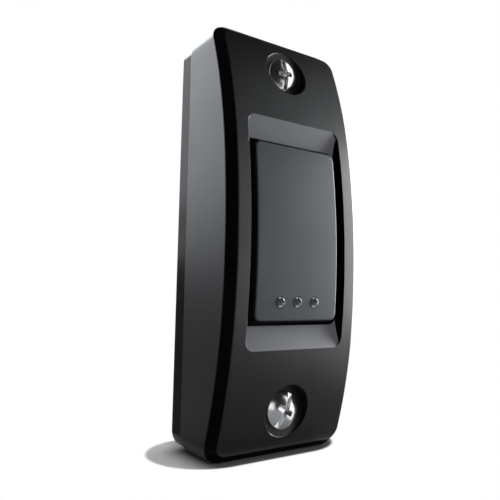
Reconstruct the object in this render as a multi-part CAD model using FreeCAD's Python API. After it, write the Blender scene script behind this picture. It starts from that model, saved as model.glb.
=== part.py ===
import FreeCAD, Part
import math
import os

# Garage door wall button: a narrow two-wire push button that screws over a wall box.
# Lengths are in millimetres. +X is to the right seen from the front, +Y points into the wall, +Z is up.
# The origin is on the wall plane, midway between the two mounting screws.
# A depth is measured from the wall plane towards the front, so a depth d lies at y = -d.

# Housing outline and its bowed face
housing_width = 39.4
corner_radius = 4.85
edge_depth = 17.7
crown_depth = 26.7
crown_radius = 190.0
crown_half_span = 20.0
front_bevel = 2.15
cover_wall = 2.0
face_wall = 2.2

# Rear base, its locating lip and its snaps
base_depth = 5.8
base_inset = 0.6
base_floor = 2.0
base_edge_round = 0.5
lip_clearance = 0.15
lip_wall = 1.4
lip_height = 3.2
snap_height = 30.0
snap_width = 6.0
snap_reach = 0.45
snap_length = 1.4
snap_clearance = 0.2

# Mounting screws, their counterbores and posts
screw_spacing = 83.34
screw_to_end = 10.58
screw_seat_depth = 19.3
screw_length = 25.4
screw_thread_radius = 1.75
screw_shank_radius = 1.5
screw_head_radius = 4.65
screw_head_rise = 2.2
screw_rim = 0.35
screw_tip_chamfer = 0.5
screw_hole_radius = 2.0
drive_slot_width = 1.2
drive_slot_depth = 1.9
drive_cross_reach = 2.4
drive_cross_width = 1.3
drive_cross_depth = 2.1
drive_turn_top = -7.0
drive_turn_bottom = 29.0
counterbore_radius = 6.15
cup_wall = 1.5
seat_thickness = 1.8
sleeve_radius = 3.9
post_radius = 4.4
post_meet_depth = 8.0

# Recess round the button, with a scooped ramp above and below the window
recess_width = 28.1
recess_height = 54.7
recess_corner = 2.4
window_height = 44.0
window_corner = 2.0
scoop_depth = 2.7
scoop_dish = 0.25
scoop_fillet = 1.2
scoop_overrun = 1.0
well_wall = 1.5
well_depth = 4.9

# Stiffening ribs
rib_thickness = 1.2
cover_rib_height = 32.0
cover_rib_depth = 6.0
sleeve_rib_depth = 11.0
base_rib_rise = 2.0
base_rib_height = 18.0

# Push button, its flange and its trunnion hinge
button_side_gap = 2.05
button_end_gap = 1.1
button_sink = 0.4
button_corner = 1.8
button_inner_corner = 0.9
button_edge_round = 0.9
button_wall = 1.6
flange_gap = 0.3
flange_thickness = 1.2
flange_overlap = 1.15
hinge_height = 17.9
hinge_depth = 19.2
pin_radius = 1.25
pin_clearance = 0.05
pin_grip = 1.8
pin_end_gap = 0.15
pin_root = 1.6
cheek_half_height = 2.0
ear_gap = 0.3
ear_half_height = 3.2
ear_reach = 3.5
ear_slot_half_width = 1.05

# Circuit board and what holds it
board_depth = 10.0
board_thickness = 1.6
board_width = 29.0
board_height = 60.0
board_corner = 1.5
boss_radius = 2.6
boss_spacing_x = 22.0
boss_spacing_z = 53.0
board_screw_radius = 1.1
board_screw_length = 6.0
board_screw_head_radius = 2.1
board_screw_head_rise = 1.4
board_screw_edge_round = 0.7
board_screw_slot_width = 0.5
board_screw_slot_depth = 0.7
board_screw_clearance = 0.05
board_hole_radius = 1.3
locating_pin_radius = 1.2
locating_pin_rise = 0.8

# Tactile switch under the button
switch_lever = 17.1
switch_travel = 0.3
switch_size = 6.0
switch_body_height = 3.2
switch_cavity_radius = 2.6
switch_cavity_depth = 1.8
switch_plate_thickness = 0.25
switch_skirt_width = 3.0
switch_plate_skirt = 1.6
plunger_radius = 1.75
plunger_clearance = 0.1
plunger_rise = 1.6
collar_radius = 2.35
collar_thickness = 0.5
plunger_foot_radius = 1.0
dome_radius = 2.2
dome_rise = 0.6
dome_thickness = 0.1
plunger_dome_gap = 0.02
press_gap = 0.1
presser_radius = 1.5
presser_rib = 1.2
presser_rib_reach = 4.0
switch_pin_width = 0.7
switch_pin_thickness = 0.3
switch_pin_pitch = 4.5
pin_tail = 1.5
pin_hole_radius = 0.55

# Indicator light and its light pipe
dot_height = -16.6
dot_pitch = 5.06
dot_radius = 1.3
dot_rise = 0.6
dot_clearance = 0.05
pipe_bar_width = 14.0
pipe_bar_height = 3.8
pipe_bar_thickness = 1.8
pipe_stem_radius = 2.2
pipe_led_gap = 0.8
led_radius = 1.5
led_flange_radius = 1.9
led_flange_thickness = 1.0
led_height = 5.3
led_lead_width = 0.5
led_lead_pitch = 2.54

# Surface-mounted parts
chip_lead_width = 0.4
chip_lead_thickness = 0.2
chip_lead_knee = 0.5
chip_lead_foot = 0.6
chip_standoff = 0.1
controller_width = 3.9
controller_height = 4.9
controller_thickness = 1.5
controller_pitch = 1.27
controller_x = -8.0
controller_z = -8.5
rectifier_width = 3.8
rectifier_height = 4.7
rectifier_thickness = 2.4
rectifier_pitch = 2.5
rectifier_x = 8.5
rectifier_z = -8.5
transistor_width = 1.3
transistor_height = 2.9
transistor_thickness = 1.0
transistor_pitch = 1.9
transistor_x = -8.0
transistor_z = -18.0
resistor_width = 2.0
resistor_height = 1.25
resistor_thickness = 0.5
resistor_pitch = 2.8
resistor_count = 4
resistor_x = -7.5
resistor_z = 8.5

# Filter capacitor
capacitor_radius = 3.15
capacitor_length = 5.4
capacitor_lead_radius = 0.3
capacitor_lead_pitch = 2.5
capacitor_x = 7.5
capacitor_z = 13.0
capacitor_edge_round = 0.4

# Wire terminals in the back
pocket_width = 26.0
pocket_height = 17.0
pocket_top = 7.0
pocket_depth = 6.0
pocket_wall = 1.5
terminal_spacing = 14.0
terminal_drop = 5.5
terminal_plate_size = 8.0
terminal_plate_thickness = 0.8
terminal_tab_width = 2.0
terminal_tab_tail = 0.6
terminal_slot_clearance = 0.2
terminal_screw_radius = 1.75
terminal_screw_clearance = 0.05
terminal_screw_head_radius = 3.4
terminal_screw_head_rise = 2.0
terminal_screw_edge_round = 0.5
terminal_screw_tail = 3.0
terminal_slot_width = 0.9
terminal_slot_depth = 0.9

# Working values
tolerance = 1e-3
overshoot = 1.0
slant_tolerance = 0.01

# Sizes that follow from the ones above
housing_height = screw_spacing + 2 * screw_to_end
half_height = housing_height / 2
screw_height = screw_spacing / 2
front_limit = crown_depth + overshoot
cover_inner_width = housing_width - 2 * cover_wall
cover_inner_height = housing_height - 2 * cover_wall
base_width = housing_width - 2 * base_inset
base_height = housing_height - 2 * base_inset
lip_width = cover_inner_width - 2 * lip_clearance
lip_plan_height = cover_inner_height - 2 * lip_clearance
lip_front = base_depth + lip_height
button_width = recess_width - 2 * button_side_gap
button_height = window_height - 2 * button_end_gap
flange_inset = well_depth + flange_gap
flange_back_inset = flange_inset + flange_thickness
flange_width = recess_width + 2 * flange_overlap
flange_height = window_height + 2 * flange_overlap
ear_inner = flange_width / 2 + ear_gap
pin_tip = ear_inner + pin_grip
board_front = board_depth + board_thickness
switch_height = hinge_height - switch_lever
switch_cavity_floor = board_front + switch_body_height - switch_cavity_depth
switch_top = board_front + switch_body_height + switch_plate_thickness
plunger_top = switch_top + plunger_rise
collar_front = board_front + switch_body_height - plunger_clearance
plunger_foot_depth = switch_cavity_floor + dome_rise + switch_travel + plunger_dome_gap
terminal_height = pocket_top - terminal_drop
terminal_x = terminal_spacing / 2
terminal_tab_x = terminal_x + terminal_plate_size / 2 + terminal_plate_thickness / 2

# The bow is one wide arc over the middle and a tighter arc, tangent to it, at each end
crown_centre = crown_depth - crown_radius
crown_angle = math.asin(crown_half_span / crown_radius)
join_depth = crown_centre + crown_radius * math.cos(crown_angle)
chord_rise = half_height - crown_half_span
chord_drop = join_depth - edge_depth
chord_angle = math.atan2(chord_drop, chord_rise)
end_radius = math.hypot(chord_rise, chord_drop) / (2 * math.sin(chord_angle - crown_angle))
end_centre_height = crown_half_span - end_radius * math.sin(crown_angle)
end_centre_depth = join_depth - end_radius * math.cos(crown_angle)


def bow_join(inset):
    """Height where the two arcs meet on the bowed face moved inset towards the wall."""
    return crown_half_span * (crown_radius - inset) / crown_radius


def bow_depth(height, inset=0.0):
    """Depth of the bowed face at a height, once the face is moved inset towards the wall."""
    reach = abs(height)
    if reach <= bow_join(inset):
        return crown_centre + math.sqrt((crown_radius - inset) ** 2 - reach**2)
    return end_centre_depth + math.sqrt((end_radius - inset) ** 2 - (reach - end_centre_height) ** 2)


def point(x, depth, height):
    """A point given by its depth in front of the wall."""
    return FreeCAD.Vector(x, -depth, height)


def block(x_low, x_high, back, front, z_low, z_high):
    """A plain block between two depths."""
    return Part.makeBox(x_high - x_low, front - back, z_high - z_low, point(x_low, front, z_low))


def rod(radius, back, front, x=0.0, z=0.0):
    """A round bar square to the wall, between two depths."""
    return Part.makeCylinder(radius, front - back, point(x, back, z), FreeCAD.Vector(0, -1, 0))


def cross_rod(radius, x_low, x_high, depth, height):
    """A round bar lying from left to right."""
    return Part.makeCylinder(radius, x_high - x_low, point(x_low, depth, height), FreeCAD.Vector(1, 0, 0))


def edges_along_depth(solid):
    """Edges square to the wall."""
    return [edge for edge in solid.Edges if 1 - abs(edge.tangentAt(edge.FirstParameter).y) < slant_tolerance]


def rounded_plate(width, height, radius, back, front, x=0.0, z=0.0):
    """A plate parallel to the wall with round corners, between two depths."""
    plate = block(x - width / 2, x + width / 2, back, front, z - height / 2, z + height / 2)
    return plate.makeFillet(radius, edges_along_depth(plate))


def upright_bar(outline, middle, height):
    """An upright bar whose section is an outline of (x, depth) points, centred on a height."""
    corners = [point(x, depth, middle - height / 2) for x, depth in outline]
    return Part.Face(Part.makePolygon(corners + corners[:1])).extrude(FreeCAD.Vector(0, 0, height))


def ball_radius(radius, rise):
    """Radius of the ball whose cap has this radius and this rise."""
    return (radius**2 + rise**2) / (2 * rise)


def arc_edge(first, middle, last):
    """A circular edge through three points."""
    return Part.Arc(first, middle, last).toShape()


def bow_block(inset):
    """Everything behind the bowed face, once the face is moved inset towards the wall."""
    side = -housing_width / 2 - overshoot
    top = half_height + overshoot
    join = bow_join(inset)
    stops = [-top, -(top + join) / 2, -join, 0.0, join, (join + top) / 2, top]
    bow = [point(side, bow_depth(height, inset), height) for height in stops]
    low_back = point(side, -overshoot, -top)
    high_back = point(side, -overshoot, top)
    edges = [
        arc_edge(*bow[0:3]),
        arc_edge(*bow[2:5]),
        arc_edge(*bow[4:7]),
        Part.makeLine(bow[6], high_back),
        Part.makeLine(high_back, low_back),
        Part.makeLine(low_back, bow[0]),
    ]
    return Part.Face(Part.Wire(edges)).extrude(FreeCAD.Vector(-2 * side, 0, 0))


def between_bows(solid, front_inset, back_inset):
    """The part of a solid that lies between two copies of the bowed face."""
    return solid.common(bow_block(front_inset)).cut(bow_block(back_inset))


def bowed_rim(solid, inset, height):
    """Edges where the bowed face of a solid of this height meets its side walls."""
    rim = []
    for edge in solid.Edges:
        middle = edge.valueAt((edge.FirstParameter + edge.LastParameter) / 2)
        on_face = abs(-middle.y - bow_depth(middle.z, inset)) < tolerance
        arc_join = abs(middle.x) < tolerance and abs(middle.z) < height / 2 - tolerance
        if on_face and not arc_join:
            rim.append(edge)
    return rim


def edges_at_depth(solid, depth):
    """Edges that lie wholly at one depth."""
    return [edge for edge in solid.Edges if abs(edge.BoundBox.YMin + depth) < tolerance
            and abs(edge.BoundBox.YMax + depth) < tolerance]


def fused(first, others):
    """One solid from a solid and the ones that grow out of it."""
    return first.multiFuse(others).removeSplitter()


def cover_shell():
    """The bow-fronted shell with its flat bevel, before the recess and the screw seats."""
    plan = rounded_plate(housing_width, housing_height, corner_radius, base_depth, front_limit)
    outside = plan.common(bow_block(0.0))
    outside = outside.makeChamfer(front_bevel, bowed_rim(outside, 0.0, housing_height))
    hollow = rounded_plate(
        cover_inner_width, cover_inner_height, corner_radius - cover_wall, base_depth - overshoot, front_limit
    )
    return outside.cut(hollow.common(bow_block(face_wall)))


def recess_well():
    """The thick collar behind the face that the recess is sunk into."""
    plan = rounded_plate(
        recess_width + 2 * well_wall,
        recess_height + 2 * well_wall,
        recess_corner + well_wall,
        base_depth,
        front_limit,
    )
    return between_bows(plan, face_wall / 2, well_depth)


def scoop_cutter(side):
    """What one end of the recess takes away: a dished ramp from the face down to the window's edge."""
    start = recess_height / 2
    edge = window_height / 2
    stop = edge - scoop_overrun
    start_depth = bow_depth(start)
    slope = (start_depth - bow_depth(edge) + scoop_depth) / (start - edge)
    stop_depth = start_depth - slope * (start - stop)
    middle_depth = (start_depth + stop_depth) / 2 - scoop_dish
    x_low = -recess_width / 2
    face_end = point(x_low, start_depth, side * start)
    middle = point(x_low, middle_depth, side * (start + stop) / 2)
    deep_end = point(x_low, stop_depth, side * stop)
    over_deep = point(x_low, front_limit, side * stop)
    over_face = point(x_low, front_limit, side * start)
    ramp = arc_edge(face_end, middle, deep_end)
    walls = [
        Part.makeLine(deep_end, over_deep),
        Part.makeLine(over_deep, over_face),
        Part.makeLine(over_face, face_end),
    ]
    cutter = Part.Face(Part.Wire([ramp] + walls)).extrude(FreeCAD.Vector(recess_width, 0, 0))
    upright = edges_along_depth(cutter)
    outer = [edge for edge in upright if abs(edge.CenterOfMass.z - side * start) < tolerance]
    cutter = cutter.makeFillet(recess_corner, outer)
    return cutter.makeFillet(scoop_fillet, ramp_border(cutter, side * start))


def ramp_border(cutter, limit):
    """Edges between the ramp of a recess cutter and the walls on its left, right and far end."""
    ramp = max(cutter.Faces, key=lambda face: face.Area if isinstance(face.Surface, Part.Cylinder) else 0.0)
    far = abs(limit) - scoop_overrun
    border = []
    for edge in ramp.Edges:
        sideways = edge.BoundBox.XLength > recess_width / 2
        if not sideways or max(abs(edge.BoundBox.ZMin), abs(edge.BoundBox.ZMax)) > far:
            border.append(edge)
    return border


def window_cutter():
    """The window that the button works in, cut right through the well."""
    return rounded_plate(recess_width, window_height, window_corner, base_depth, front_limit)


def screw_seat(height):
    """The cup that sinks one screw head, and the sleeve that carries the load down to the base."""
    cup = rod(counterbore_radius + cup_wall, screw_seat_depth - seat_thickness, front_limit, z=height)
    sleeve = rod(sleeve_radius, post_meet_depth, screw_seat_depth, z=height)
    rib = block(
        -cover_inner_width / 2 - tolerance, cover_inner_width / 2 + tolerance,
        sleeve_rib_depth, front_limit, height - rib_thickness / 2, height + rib_thickness / 2,
    )
    inside = bow_block(face_wall / 2)
    return [cup.common(inside), sleeve, rib.common(inside)]


def screw_seat_cutter(height):
    """The counterbore and the clearance hole for one mounting screw."""
    counterbore = rod(counterbore_radius, screw_seat_depth, front_limit, z=height)
    hole = rod(screw_hole_radius, base_depth, front_limit, z=height)
    return counterbore.fuse(hole)


def hinge_ear(side):
    """A block on the side wall that carries one trunnion of the button."""
    ends = sorted((side * ear_inner, side * (cover_inner_width / 2 + tolerance)))
    ear = block(
        *ends, hinge_depth - ear_reach, front_limit,
        hinge_height - ear_half_height, hinge_height + ear_half_height,
    )
    return ear.common(bow_block(face_wall / 2))


def hinge_ear_cutter(side):
    """The blind bearing hole of one ear, and the slot at its back that the trunnion snaps in through."""
    ends = sorted((side * (ear_inner - tolerance), side * (pin_tip + pin_end_gap)))
    bore = cross_rod(pin_radius + pin_clearance, *ends, hinge_depth, hinge_height)
    slot = block(
        *ends, hinge_depth - ear_reach - overshoot, hinge_depth,
        hinge_height - ear_slot_half_width, hinge_height + ear_slot_half_width,
    )
    return bore.fuse(slot)


def snap_pocket(side, height):
    """The pocket in the cover's side wall that one snap of the base clicks into."""
    reach = lip_width / 2 + snap_reach + snap_clearance
    ends = sorted((side * (cover_inner_width / 2 - overshoot), side * reach))
    half = snap_width / 2 + snap_clearance
    back = lip_front - snap_length - snap_clearance
    return block(*ends, back, lip_front + snap_clearance, height - half, height + half)


def front_cover():
    """The moulded cover: shell, recess with its window, screw seats, hinge ears, ribs and snap pockets."""
    grown = [recess_well()]
    cutters = [window_cutter()]
    for side in (-1, 1):
        grown += screw_seat(side * screw_height)
        grown.append(hinge_ear(side))
        rib = block(
            -cover_inner_width / 2 - tolerance, cover_inner_width / 2 + tolerance, base_depth, front_limit,
            side * cover_rib_height - rib_thickness / 2, side * cover_rib_height + rib_thickness / 2,
        )
        grown.append(between_bows(rib, face_wall / 2, cover_rib_depth))
        cutters += [scoop_cutter(side), screw_seat_cutter(side * screw_height), hinge_ear_cutter(side)]
        cutters += [snap_pocket(side, height) for height in (-snap_height, snap_height)]
    return fused(cover_shell(), grown).cut(cutters)


def snap_barb(side, height):
    """A wedge on the base's lip: a square shoulder at the back and a ramp towards the front."""
    root = side * (lip_width / 2 - lip_wall / 2)
    face = side * lip_width / 2
    tip = side * (lip_width / 2 + snap_reach)
    shoulder = lip_front - snap_length
    outline = [(root, shoulder), (tip, shoulder), (face, lip_front), (root, lip_front)]
    return upright_bar(outline, height, snap_width)


def board_corners():
    """Left-right and up-down places of the four bosses under the circuit board."""
    return [(x * boss_spacing_x / 2, z * boss_spacing_z / 2) for x in (-1, 1) for z in (-1, 1)]


def screwed_corners():
    """The two opposite bosses that take a screw; the other two carry a locating pin."""
    return [corner for corner in board_corners() if corner[0] * corner[1] < 0]


def pinned_corners():
    """The two opposite bosses with a locating pin."""
    return [corner for corner in board_corners() if corner[0] * corner[1] > 0]


def pocket_block(margin, back, front):
    """The terminal pocket in the base's back, grown by a margin on its four sides."""
    half = pocket_width / 2 + margin
    return block(-half, half, back, front, pocket_top - pocket_height - margin, pocket_top + margin)


def terminal_slot(side):
    """The slot in the pocket's floor that one terminal tab passes through."""
    half_x = terminal_plate_thickness / 2 + terminal_slot_clearance
    half_z = terminal_tab_width / 2 + terminal_slot_clearance
    x = side * terminal_tab_x
    low = terminal_height - half_z
    high = terminal_height + half_z
    return block(x - half_x, x + half_x, base_floor, board_front + overshoot, low, high)


def rear_base():
    """The moulded base: tray and lip, screw posts, board bosses, terminal pocket, ribs and snaps."""
    tray = rounded_plate(base_width, base_height, corner_radius - base_inset, 0.0, base_depth)
    tray = tray.makeFillet(base_edge_round, edges_at_depth(tray, 0.0))
    lip_corner = corner_radius - cover_wall - lip_clearance
    lip = rounded_plate(lip_width, lip_plan_height, lip_corner, base_floor, lip_front)
    hollow = rounded_plate(
        lip_width - 2 * lip_wall, lip_plan_height - 2 * lip_wall, lip_corner - lip_wall,
        base_floor, lip_front + overshoot,
    )
    grown = [pocket_block(pocket_wall, base_floor / 2, pocket_depth + pocket_wall)]
    cutters = [pocket_block(0.0, -overshoot, pocket_depth)]
    for side in (-1, 1):
        grown.append(rod(post_radius, base_floor / 2, post_meet_depth, z=side * screw_height))
        cutters.append(rod(screw_hole_radius, -overshoot, post_meet_depth + overshoot, z=side * screw_height))
        grown += [snap_barb(side, height) for height in (-snap_height, snap_height)]
        rib_z = side * base_rib_height
        rib_half = lip_width / 2 - lip_wall / 2
        grown.append(block(
            -rib_half, rib_half, base_floor / 2, base_floor + base_rib_rise,
            rib_z - rib_thickness / 2, rib_z + rib_thickness / 2,
        ))
        cutters.append(terminal_slot(side))
        hole = terminal_screw_radius + 2 * terminal_slot_clearance
        cutters.append(rod(hole, base_floor, board_depth, side * terminal_x, terminal_height))
    grown += [rod(boss_radius, base_floor / 2, board_depth, *corner) for corner in board_corners()]
    pin_front = board_front + locating_pin_rise
    grown += [rod(locating_pin_radius, base_floor, pin_front, *corner) for corner in pinned_corners()]
    pilot = board_screw_radius + board_screw_clearance
    pilot_back = board_front - board_screw_length - board_screw_clearance
    cutters += [rod(pilot, pilot_back, board_depth + overshoot, *corner) for corner in screwed_corners()]
    return fused(tray.fuse(lip).cut(hollow), grown).cut(cutters)


def mounting_screw(height, turn):
    """A round-headed machine screw with a slot and a cross in its head, tightened to a turn in degrees.

    The shank is drawn at its root size inside the housing and at its full thread size behind the wall plane.
    """
    seat = screw_seat_depth
    top = seat + screw_rim + screw_head_rise
    tip = seat - screw_length
    ball = ball_radius(screw_head_radius, screw_head_rise)
    dome = Part.makeSphere(ball, point(0.0, top - ball, height))
    head = rod(screw_head_radius, seat, top, z=height).common(dome)
    thread = rod(screw_thread_radius, tip, 0.0, z=height)
    thread = thread.makeChamfer(screw_tip_chamfer, edges_at_depth(thread, tip))
    shank = rod(screw_shank_radius, 0.0, seat + screw_rim, z=height)
    slot = block(
        -drive_slot_width / 2, drive_slot_width / 2, top - drive_slot_depth, top + overshoot,
        height - screw_head_radius - overshoot, height + screw_head_radius + overshoot,
    )
    cutters = [slot]
    for reach_x, reach_z in (
        (drive_cross_reach, drive_cross_width / 2),
        (drive_cross_width / 2, drive_cross_reach),
    ):
        cutters.append(block(
            -reach_x, reach_x, top - drive_cross_depth, top + overshoot, height - reach_z, height + reach_z
        ))
    axis = FreeCAD.Vector(0, 1, 0)
    turned = [cutter.rotated(point(0.0, top, height), axis, turn) for cutter in cutters]
    return fused(head, [shank, thread]).cut(turned)


def button_pin(side):
    """One trunnion of the button with the cheek at its root."""
    ends = sorted((side * (flange_width / 2 - pin_root), side * pin_tip))
    cheek_ends = sorted((side * (flange_width / 2 - pin_root), side * flange_width / 2))
    pin = cross_rod(pin_radius, *ends, hinge_depth, hinge_height)
    low = hinge_height - cheek_half_height
    high = hinge_height + cheek_half_height
    cheek = block(*cheek_ends, hinge_depth - pin_radius, front_limit, low, high)
    return [pin, cheek.common(bow_block(flange_inset))]


def presser():
    """The cross-shaped rib inside the button whose tip meets the switch plunger."""
    tip = plunger_top + press_gap
    inside = bow_block(button_sink + button_wall / 2)
    arms = [rod(presser_radius, tip, front_limit, z=switch_height)]
    for reach_x, reach_z in ((presser_rib_reach, presser_rib / 2), (presser_rib / 2, presser_rib_reach)):
        low = switch_height - reach_z
        high = switch_height + reach_z
        arms.append(block(-reach_x, reach_x, tip + presser_radius, front_limit, low, high))
    return [arm.common(inside) for arm in arms]


def dot_places():
    """Left-right places of the three light tips."""
    return [step * dot_pitch for step in (-1, 0, 1)]


def push_button():
    """The bowed cap, hollow at the back, with its retaining flange, trunnions, presser and light holes."""
    plan = rounded_plate(button_width, button_height, button_corner, base_depth, front_limit)
    cap = plan.common(bow_block(button_sink))
    cap = cap.makeFillet(button_edge_round, bowed_rim(cap, button_sink, button_height))
    cap = cap.cut(bow_block(flange_back_inset))
    flange_plan = rounded_plate(flange_width, flange_height, button_corner, base_depth, front_limit)
    flange = between_bows(flange_plan, flange_inset, flange_back_inset)
    hollow = rounded_plate(
        button_width - 2 * button_wall, button_height - 2 * button_wall, button_inner_corner,
        base_depth, front_limit,
    )
    body = cap.fuse(flange).cut(hollow.common(bow_block(button_sink + button_wall)))
    grown = presser() + button_pin(-1) + button_pin(1)
    hole = dot_radius + dot_clearance
    holes = [rod(hole, base_depth, front_limit, x, dot_height) for x in dot_places()]
    return body.multiFuse(grown).cut(holes)


def light_pipe():
    """One clear moulding: three domed tips on a bar behind the button's face, and a stem to the light."""
    face = bow_depth(dot_height, button_sink)
    ball = ball_radius(dot_radius, dot_rise)
    bar_front = button_sink + button_wall + dot_clearance
    bar = block(
        -pipe_bar_width / 2, pipe_bar_width / 2, base_depth, front_limit,
        dot_height - pipe_bar_height / 2, dot_height + pipe_bar_height / 2,
    )
    bar = between_bows(bar, bar_front, bar_front + pipe_bar_thickness)
    stem_back = board_front + led_height + pipe_led_gap
    grown = [rod(pipe_stem_radius, stem_back, face, z=dot_height).common(bow_block(bar_front))]
    for x in dot_places():
        dome = Part.makeSphere(ball, point(x, face + dot_rise - ball, dot_height))
        root = rod(dot_radius, face - button_wall - pipe_bar_thickness / 2, face, x, dot_height)
        tip = rod(dot_radius, face - tolerance, face + dot_rise, x, dot_height).common(dome)
        grown += [root, tip]
    return fused(bar, grown)


def pin_places():
    """Places of the four pins of the switch, just outside its body."""
    x = switch_size / 2 + switch_pin_thickness / 2
    return [(side * x, switch_height + row * switch_pin_pitch / 2) for side in (-1, 1) for row in (-1, 1)]


def led_lead_places():
    """Places of the two leads of the indicator light."""
    return [(side * led_lead_pitch / 2, dot_height) for side in (-1, 1)]


def capacitor_lead_places():
    """Places of the two leads of the filter capacitor."""
    return [(capacitor_x + side * capacitor_lead_pitch / 2, capacitor_z) for side in (-1, 1)]


def circuit_board():
    """The board with its mounting holes, lead holes and terminal slots."""
    board = rounded_plate(board_width, board_height, board_corner, board_depth, board_front)
    through = (board_depth - overshoot, board_front + overshoot)
    cutters = [rod(board_hole_radius, *through, *corner) for corner in board_corners()]
    leads = pin_places() + led_lead_places() + capacitor_lead_places()
    cutters += [rod(pin_hole_radius, *through, *place) for place in leads]
    cutters += [terminal_slot(side) for side in (-1, 1)]
    return board.cut(cutters)


def board_screw(corner):
    """A pan-headed screw that holds the board down on its boss."""
    top = board_front + board_screw_head_rise
    head = rod(board_screw_head_radius, board_front, top, *corner)
    head = head.makeFillet(board_screw_edge_round, edges_at_depth(head, top))
    shank = rod(board_screw_radius, board_front - board_screw_length, board_front, *corner)
    x, z = corner
    half = board_screw_slot_width / 2
    slot = block(
        x - board_screw_head_radius, x + board_screw_head_radius,
        top - board_screw_slot_depth, top + overshoot, z - half, z + half,
    )
    return head.fuse(shank).cut(slot)


def switch_body():
    """The square base of the tactile switch with the round well that holds its dome."""
    front = board_front + switch_body_height
    half = switch_size / 2
    body = block(-half, half, board_front, front, switch_height - half, switch_height + half)
    well = rod(switch_cavity_radius, switch_cavity_floor, front + overshoot, z=switch_height)
    return body.cut(well)


def switch_cover_plate():
    """The folded metal lid of the switch: a plate with a hole and two side skirts."""
    half = switch_size / 2
    skirt_half = switch_skirt_width / 2
    front = board_front + switch_body_height
    skirt = half + switch_plate_thickness
    lid = block(-half, half, front, switch_top, switch_height - skirt, switch_height + skirt)
    hole = rod(plunger_radius + plunger_clearance, front - overshoot, switch_top + overshoot, z=switch_height)
    skirts = []
    for side in (-1, 1):
        ends = sorted((switch_height + side * half, switch_height + side * skirt))
        skirts.append(block(-skirt_half, skirt_half, front - switch_plate_skirt, front, *ends))
    return fused(lid, skirts).cut(hole)


def switch_plunger():
    """The stem of the switch: its tip, the collar that keeps it in and the foot over the dome."""
    stem = rod(plunger_radius, collar_front - collar_thickness, plunger_top, z=switch_height)
    collar = rod(collar_radius, collar_front - collar_thickness, collar_front, z=switch_height)
    foot = rod(plunger_foot_radius, plunger_foot_depth, collar_front, z=switch_height)
    return fused(stem, [collar, foot])


def switch_dome():
    """The snap dome: a thin spherical cap resting on the floor of the switch's well."""
    ball = ball_radius(dome_radius, dome_rise)
    centre = point(0.0, switch_cavity_floor + dome_rise - ball, switch_height)
    cap = rod(dome_radius, switch_cavity_floor, switch_cavity_floor + dome_rise, z=switch_height)
    cap = cap.common(Part.makeSphere(ball, centre))
    return cap.cut(Part.makeSphere(ball - dome_thickness, centre))


def switch_pins():
    """The four flat pins of the switch, from beside its body down through the board."""
    pins = []
    front = board_front + switch_body_height / 2
    for x, z in pin_places():
        half_x = switch_pin_thickness / 2
        half_z = switch_pin_width / 2
        pins.append(block(x - half_x, x + half_x, board_depth - pin_tail, front, z - half_z, z + half_z))
    return Part.makeCompound(pins)


def indicator_led():
    """The round-topped light on the board behind the light pipe."""
    top = board_front + led_height
    flange = rod(led_flange_radius, board_front, board_front + led_flange_thickness, z=dot_height)
    barrel = rod(led_radius, board_front, top - led_radius, z=dot_height)
    dome = Part.makeSphere(led_radius, point(0.0, top - led_radius, dot_height))
    return fused(flange, [barrel, dome])


def led_leads():
    """The two square leads of the indicator light."""
    half = led_lead_width / 2
    leads = []
    for x, z in led_lead_places():
        leads.append(block(x - half, x + half, board_depth - pin_tail, board_front, z - half, z + half))
    return Part.makeCompound(leads)


def chip_body(width, height, thickness, x, z):
    """A moulded chip body standing just clear of the board."""
    back = board_front + chip_standoff
    return block(x - width / 2, x + width / 2, back, back + thickness, z - height / 2, z + height / 2)


def gull_lead(side, width, thickness, x, z):
    """One flat lead, from the middle of a chip's side out and down to its foot on the board."""
    root = width / 2
    knee = root + chip_lead_knee
    toe = knee + chip_lead_foot
    high = board_front + chip_standoff + thickness / 2
    high_back = high - chip_lead_thickness
    low = board_front
    low_front = low + chip_lead_thickness
    inner = knee - chip_lead_thickness
    outline = [
        (root, high), (knee, high), (knee, low_front), (toe, low_front),
        (toe, low), (inner, low), (inner, high_back), (root, high_back),
    ]
    return upright_bar([(x + side * reach, depth) for reach, depth in outline], z, chip_lead_width)


def lead_rows(width, thickness, x, z, pitch, counts):
    """The leads of a chip: how many on its left side and how many on its right."""
    leads = []
    for side, count in zip((-1, 1), counts):
        for place in range(count):
            height = z + (place - (count - 1) / 2) * pitch
            leads.append(gull_lead(side, width, thickness, x, height))
    return Part.makeCompound(leads)


def microcontroller():
    """The eight-lead chip that answers the opener."""
    return chip_body(controller_width, controller_height, controller_thickness, controller_x, controller_z)


def microcontroller_leads():
    """Its leads, four a side."""
    return lead_rows(
        controller_width, controller_thickness, controller_x, controller_z, controller_pitch, (4, 4)
    )


def bridge_rectifier():
    """The rectifier that lets the two wires go on either way round."""
    return chip_body(rectifier_width, rectifier_height, rectifier_thickness, rectifier_x, rectifier_z)


def bridge_rectifier_leads():
    """Its leads, two a side."""
    return lead_rows(
        rectifier_width, rectifier_thickness, rectifier_x, rectifier_z, rectifier_pitch, (2, 2)
    )


def signal_transistor():
    """The small transistor that switches the line."""
    return chip_body(transistor_width, transistor_height, transistor_thickness, transistor_x, transistor_z)


def signal_transistor_leads():
    """Its leads, one on the left and two on the right."""
    return lead_rows(
        transistor_width, transistor_thickness, transistor_x, transistor_z, transistor_pitch, (1, 2)
    )


def chip_resistors():
    """A column of chip resistors lying flat on the board."""
    chips = []
    left = resistor_x - resistor_width / 2
    right = resistor_x + resistor_width / 2
    front = board_front + resistor_thickness
    for place in range(resistor_count):
        low = resistor_z + place * resistor_pitch - resistor_height / 2
        chips.append(block(left, right, board_front, front, low, low + resistor_height))
    return Part.makeCompound(chips)


def filter_capacitor():
    """The round capacitor can standing on the board."""
    top = board_front + capacitor_length
    can = rod(capacitor_radius, board_front, top, capacitor_x, capacitor_z)
    return can.makeFillet(capacitor_edge_round, edges_at_depth(can, top))


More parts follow.
